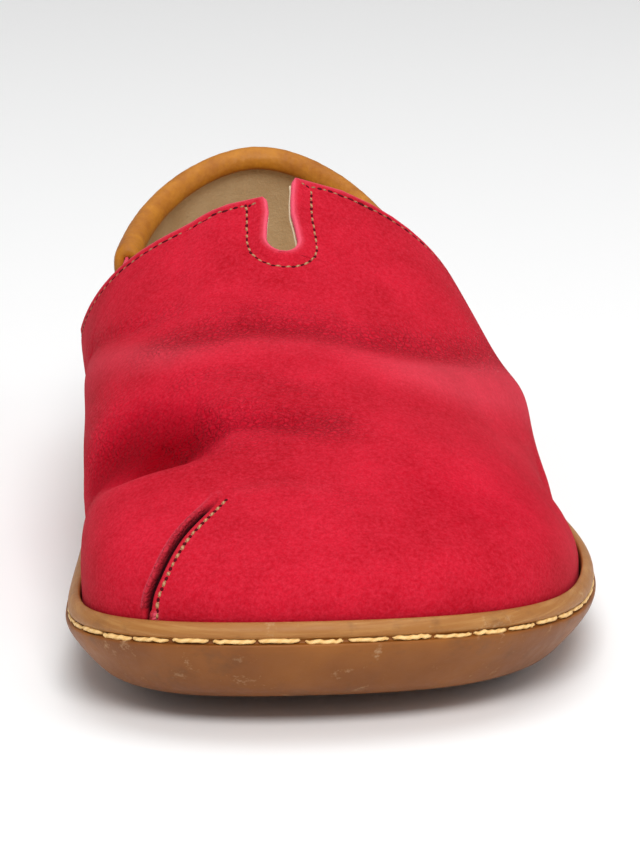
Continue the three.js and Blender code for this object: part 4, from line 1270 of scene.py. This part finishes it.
def gumRubber():
    # moulded gum rubber: smooth, slightly glossy, honey brown; scuffs leave pale specks, and the rim is brushed
    # in strokes 13 mm long and 0.6 mm high; clouds of 26 mm, grime of 8 mm, specks of 5 mm and less
    material, tree = newMaterial("gum_rubber")
    place = addNode(tree, "ShaderNodeTexCoord").outputs["Object"]
    band = addNode(tree, "ShaderNodeAttribute", {"attribute_name": "rimBand"}).outputs["Fac"]
    clouds = addNode(tree, "ShaderNodeTexNoise", {"Scale": sized(26.32), "Detail": 4.0}, {"Vector": place})
    blend = addNode(tree, "ShaderNodeMapRange", {"From Min": 0.38, "From Max": 0.64},
                    {"Value": clouds.outputs["Fac"]})
    body = addNode(tree, "ShaderNodeMix", {"data_type": "RGBA", 6: linear("#784316"), 7: linear("#92571D")},
                   {0: blend.outputs[0]})
    rim = addNode(tree, "ShaderNodeMix", {"data_type": "RGBA", 7: linear("#9C6630")},
                  {0: band, 6: body.outputs[2]})
    flat = addNode(tree, "ShaderNodeVectorMath", {"operation": "MULTIPLY", 1: (1.0, 1.0, 22.0)}, {0: place})
    brushed = addNode(tree, "ShaderNodeTexNoise", {"Scale": sized(13.33), "Detail": 4.0, "Roughness": 0.65},
                      {"Vector": flat.outputs[0]})
    strokes = addNode(tree, "ShaderNodeMapRange", {"From Min": 0.45, "From Max": 0.7, "To Max": 0.55},
                      {"Value": brushed.outputs["Fac"]})
    onRim = addNode(tree, "ShaderNodeMath", {"operation": "MULTIPLY"}, {0: strokes.outputs[0], 1: band})
    lined = addNode(tree, "ShaderNodeMix", {"data_type": "RGBA", 7: linear("#BA8A50")},
                    {0: onRim.outputs[0], 6: rim.outputs[2]})
    dust = addNode(tree, "ShaderNodeTexNoise", {"Scale": sized(4.762), "Detail": 6.0, "Roughness": 0.75},
                   {"Vector": place})
    dusty = addNode(tree, "ShaderNodeMapRange", {"From Min": 0.6, "From Max": 0.74, "To Max": 0.6},
                    {"Value": dust.outputs["Fac"]})
    scuffed = addNode(tree, "ShaderNodeMix", {"data_type": "RGBA", 7: linear("#C7A882")},
                      {0: dusty.outputs[0], 6: lined.outputs[2]})
    grime = addNode(tree, "ShaderNodeTexNoise", {"Scale": sized(8.333), "Detail": 5.0, "Roughness": 0.7},
                    {"Vector": place})
    grimy = addNode(tree, "ShaderNodeMapRange", {"From Min": 0.54, "From Max": 0.72, "To Max": 0.45},
                    {"Value": grime.outputs["Fac"]})
    dirty = addNode(tree, "ShaderNodeMix", {"data_type": "RGBA", 7: linear("#5A3A22")},
                    {0: grimy.outputs[0], 6: scuffed.outputs[2]})
    rough = addNode(tree, "ShaderNodeMapRange",
                    {"From Min": 0.3, "From Max": 0.7, "To Min": 0.42, "To Max": 0.62},
                    {"Value": dust.outputs["Fac"]})
    bump = addNode(tree, "ShaderNodeBump", {"Strength": 0.25, "Distance": 0.0004},
                   {"Height": dust.outputs["Fac"]})
    shader = addNode(tree, "ShaderNodeBsdfPrincipled", {"Specular IOR Level": 0.28, "IOR": 1.52},
                     {"Base Color": dirty.outputs[2], "Roughness": rough.outputs[0], "Normal": bump.outputs[0]})
    finishMaterial(tree, shader)
    return material


def tanLeather():
    # vegetable-tanned, lightly waxed leather: warm orange tan, with painted shade where it turns under, softly
    # glossy;
    # real pores, about 0.2 mm, wouldn't show in the render, so they are drawn 1.1 mm apart
    material, tree = newMaterial("waxed_tan_leather")
    place = addNode(tree, "ShaderNodeTexCoord").outputs["Object"]
    under = addNode(tree, "ShaderNodeAttribute", {"attribute_name": "paintedShade"}).outputs["Fac"]
    clouds = addNode(tree, "ShaderNodeTexNoise", {"Scale": sized(7.143), "Detail": 6.0, "Roughness": 0.65},
                     {"Vector": place})
    blend = addNode(tree, "ShaderNodeMapRange", {"From Min": 0.3, "From Max": 0.72},
                    {"Value": clouds.outputs["Fac"]})
    base = addNode(tree, "ShaderNodeMix", {"data_type": "RGBA", 6: linear("#98560F"), 7: linear("#C27E1F")},
                   {0: blend.outputs[0]})
    # painted shade: darker tan where the roll turns under
    shade = addNode(tree, "ShaderNodeMix", {"data_type": "RGBA", 7: linear("#6E3F10")},
                    {0: under, 6: base.outputs[2]})
    pores = addNode(tree, "ShaderNodeTexVoronoi", {"Scale": sized(1.111)}, {"Vector": place})
    bump = addNode(tree, "ShaderNodeBump", {"Strength": 0.22, "Distance": 0.0004},
                   {"Height": pores.outputs["Distance"]})
    shader = addNode(tree, "ShaderNodeBsdfPrincipled", {"Roughness": 0.52, "Specular IOR Level": 0.3},
                     {"Base Color": shade.outputs[2], "Normal": bump.outputs[0]})
    finishMaterial(tree, shader)
    return material


def pigskin(name, light, deep, poreSize):
    # unfinished pigskin: dry beige with fine pores in clusters, no gloss;
    # real pores, about 0.3 mm, wouldn't show in the render, so they are drawn 0.6 to 0.8 mm apart
    material, tree = newMaterial(name)
    place = addNode(tree, "ShaderNodeTexCoord").outputs["Object"]
    cut = addNode(tree, "ShaderNodeAttribute", {"attribute_name": "cutEdge"}).outputs["Fac"]
    clouds = addNode(tree, "ShaderNodeTexNoise", {"Scale": sized(16.67), "Detail": 6.0, "Roughness": 0.65},
                     {"Vector": place})
    blend = addNode(tree, "ShaderNodeMapRange", {"From Min": 0.34, "From Max": 0.66},
                    {"Value": clouds.outputs["Fac"]})
    base = addNode(tree, "ShaderNodeMix", {"data_type": "RGBA", 6: linear(deep), 7: linear(light)},
                   {0: blend.outputs[0]})
    edge = addNode(tree, "ShaderNodeMix", {"data_type": "RGBA", 7: linear("#E6D2B2")},
                   {0: cut, 6: base.outputs[2]})
    pores = addNode(tree, "ShaderNodeTexNoise", {"Scale": sized(poreSize), "Detail": 3.0, "Roughness": 0.7},
                    {"Vector": place})
    bump = addNode(tree, "ShaderNodeBump", {"Strength": 0.4, "Distance": 0.0005},
                   {"Height": pores.outputs["Fac"]})
    shader = addNode(tree, "ShaderNodeBsdfPrincipled", {"Roughness": 0.92, "Specular IOR Level": 0.2},
                     {"Base Color": edge.outputs[2], "Normal": bump.outputs[0]})
    finishMaterial(tree, shader)
    return material


def waxedThread(name, light, deep, turn):
    # twisted linen thread: the plies show as slanting lines, as sin(2 pi * way along / turn + angle round it)
    material, tree = newMaterial(name)
    way, angle, shade = (addNode(tree, "ShaderNodeAttribute", {"attribute_name": layer}).outputs["Fac"]
                         for layer in ("twist", "angle", "shade"))
    phase = addNode(tree, "ShaderNodeMath", {"operation": "MULTIPLY_ADD", 1: 6.283 / turn},
                    {0: way, 2: angle})
    wave = addNode(tree, "ShaderNodeMath", {"operation": "SINE"}, {0: phase.outputs[0]})
    ply = addNode(tree, "ShaderNodeMapRange", {"From Min": -1.0, "From Max": 0.2}, {"Value": wave.outputs[0]})
    colour = addNode(tree, "ShaderNodeMix", {"data_type": "RGBA", 6: linear(deep), 7: linear(light)},
                     {0: ply.outputs[0]})
    # painted shade: the shade attribute darkens the thread towards a deep red-brown
    shadedThread = addNode(tree, "ShaderNodeMix", {"data_type": "RGBA", 7: linear("#6E1A1C")},
                   {0: shade, 6: colour.outputs[2]})
    bump = addNode(tree, "ShaderNodeBump", {"Strength": 0.4, "Distance": 0.0002}, {"Height": ply.outputs[0]})
    shader = addNode(tree, "ShaderNodeBsdfPrincipled", {"Roughness": 0.6},
                     {"Base Color": shadedThread.outputs[2], "Normal": bump.outputs[0]})
    finishMaterial(tree, shader)
    return material


def needleHole():
    # painted shadow of a needle hole in dyed leather, a little uneven
    material, tree = newMaterial("needle_hole_shadow")
    place = addNode(tree, "ShaderNodeTexCoord").outputs["Object"]
    speck = addNode(tree, "ShaderNodeTexNoise", {"Scale": sized(1.111)}, {"Vector": place})
    colour = addNode(tree, "ShaderNodeMix", {"data_type": "RGBA", 6: linear("#3C060C"), 7: linear("#5E0C18")},
                     {0: speck.outputs["Fac"]})
    finishMaterial(tree, addNode(tree, "ShaderNodeBsdfPrincipled",
                                 {"Roughness": 0.95, "Specular IOR Level": 0.1},
                                 {"Base Color": colour.outputs[2]}))
    return material


# Pieces

paleEdge = {
    # how strongly raw leather shows: half width mm and share along the cut edges, on the cut itself within
    # this reach of the topline, and along the dart's folded edge within this reach of its line
    "width": 0.4, "share": 0.3, "lipShare": 0.85, "lipReach": 1,
    "foldWidth": 0.32, "foldShare": 0.8, "foldReach": 4, "quarterShare": 0.6,
}
shading = {
    # what the dart adds to the painted shade of its groove and ridge, to the relief behind painted shade and
    # highlight, and to the vamp's crinkle, and the quarter's crinkle
    "grooveDark": 1.5, "ridgeDark": 0.08, "dartRelief": 1.2, "ridgeCrinkle": 0.9, "quarterCrinkle": 0.12,
    # where painted shade darkens the roll as it turns under, as shares of the way round its skin, and how much
    "innerFrom": 0.78, "innerDark": 0.75, "outerTo": 0.34, "outerDark": 0.6, "rollEase": 0.2,
}
number = np.arange(len(vampShell))
lipRows = number >= 2 * len(vampPoints)
topEdge = np.minimum(toNotch, toTop)
cutEdge = np.exp(-(topEdge / paleEdge["width"]) ** 2)[vampSource] * paleEdge["share"]
cutEdge = np.where(lipRows & (topEdge[vampSource] < paleEdge["lipReach"]), paleEdge["lipShare"], cutEdge)
foldEdge = np.exp(-((signed - dart["edgeAt"]) / paleEdge["foldWidth"]) ** 2) * shrink
foldEdge = foldEdge * (fromDart < paleEdge["foldReach"])
cutEdge = np.maximum(cutEdge, paleEdge["foldShare"] * foldEdge[vampSource] * (number < len(vampPoints)))
# painted shade: dark in the dart's groove and a little on its ridge
paintedShade = np.clip(shading["grooveDark"] * groove + shading["ridgeDark"] * ridge, 0, 1)[vampSource]
crinkle = np.maximum(crinkle, ridge * shading["ridgeCrinkle"])
# the creases' relief with the dart's: painted shade in hollows, rubbed wear and painted highlight on ridges
reliefShadeAndHighlight = (relief + shading["dartRelief"] * dartRelief)[vampSource]
addPiece("vamp", vampShell, vampFaces, redNubuck(True), replaced=["upper"],
         layers={"relief": reliefShadeAndHighlight, "crinkle": crinkle[vampSource], "cutEdge": cutEdge, "paintedShade": paintedShade})
zero = np.zeros(len(quarterShell))
quarterTop = np.arange(len(quarterShell)) >= 2 * len(quarterPoints)
addPiece("quarter", quarterShell, quarterFaces, redNubuck(False), replaced=["upper"],
         layers={"relief": zero, "crinkle": zero + shading["quarterCrinkle"],
                 "cutEdge": quarterTop * paleEdge["quarterShare"], "paintedShade": zero})
liningEdge = (np.arange(len(liningShell)) >= 2 * len(liningPoints)) * 1.0
addPiece("lining", liningShell, liningFaces, pigskin("beige_pigskin_lining", "#CBB087", "#B99A70", 0.769),
         replaced=["upper"], layers={"cutEdge": liningEdge})
# painted shade on the roll's inner and outer legs, where they turn under
under = np.maximum(smooth((around - shading["innerFrom"]) / shading["rollEase"]) * shading["innerDark"],
                   smooth((shading["outerTo"] - around) / shading["rollEase"]) * shading["outerDark"])
roll = addPiece("collar_roll", bindingPoints, bindingFaces, tanLeather(),
                replaced=["collar_binding"], layers={"paintedShade": under})
addPiece("gum_sole", solePoints, soleQuads, gumRubber(), replaced=["outsole"],
         layers={"rimBand": soleBand}, tris=soleTris)
addPiece("footbed_leather", footbedPoints, footbedQuads,
         pigskin("footbed_leather", "#B98F5C", "#A67C4C", 0.625), replaced=["insole"],
         layers={"cutEdge": np.zeros(len(footbedPoints))}, tris=footbedTris)
thin = waxedThread("tan_waxed_thread", "#C79A6B", "#96643C", 0.9)
thick = waxedThread("pale_waxed_thread", "#F0C684", "#E2B46E", 2.2)


def addStitches(name, part, thread, replaced, shade):
    # a bead list as one piece, with the way along, the angle round it and the share of painted shade on its
    # thread
    points, quads, twist, angle = part
    layers = {"twist": twist, "angle": angle, "shade": np.zeros(len(points)) + shade}
    addPiece(name, points, quads, thread, replaced=[replaced], layers=layers)


addStitches("upper_stitches", merged(threadParts), thin, "upper", np.concatenate(threadShades))
# dark beads at the needle holes, painted as their shadow
addPiece("needle_hole_shade_beads", holePoints, holeQuads, needleHole(), replaced=["upper"])
addStitches("collar_stitches", collarPart, thin, "collar_binding", stitching["collar"]["shade"])
addStitches("sole_stitches", solePart, thick, "outsole", 0)
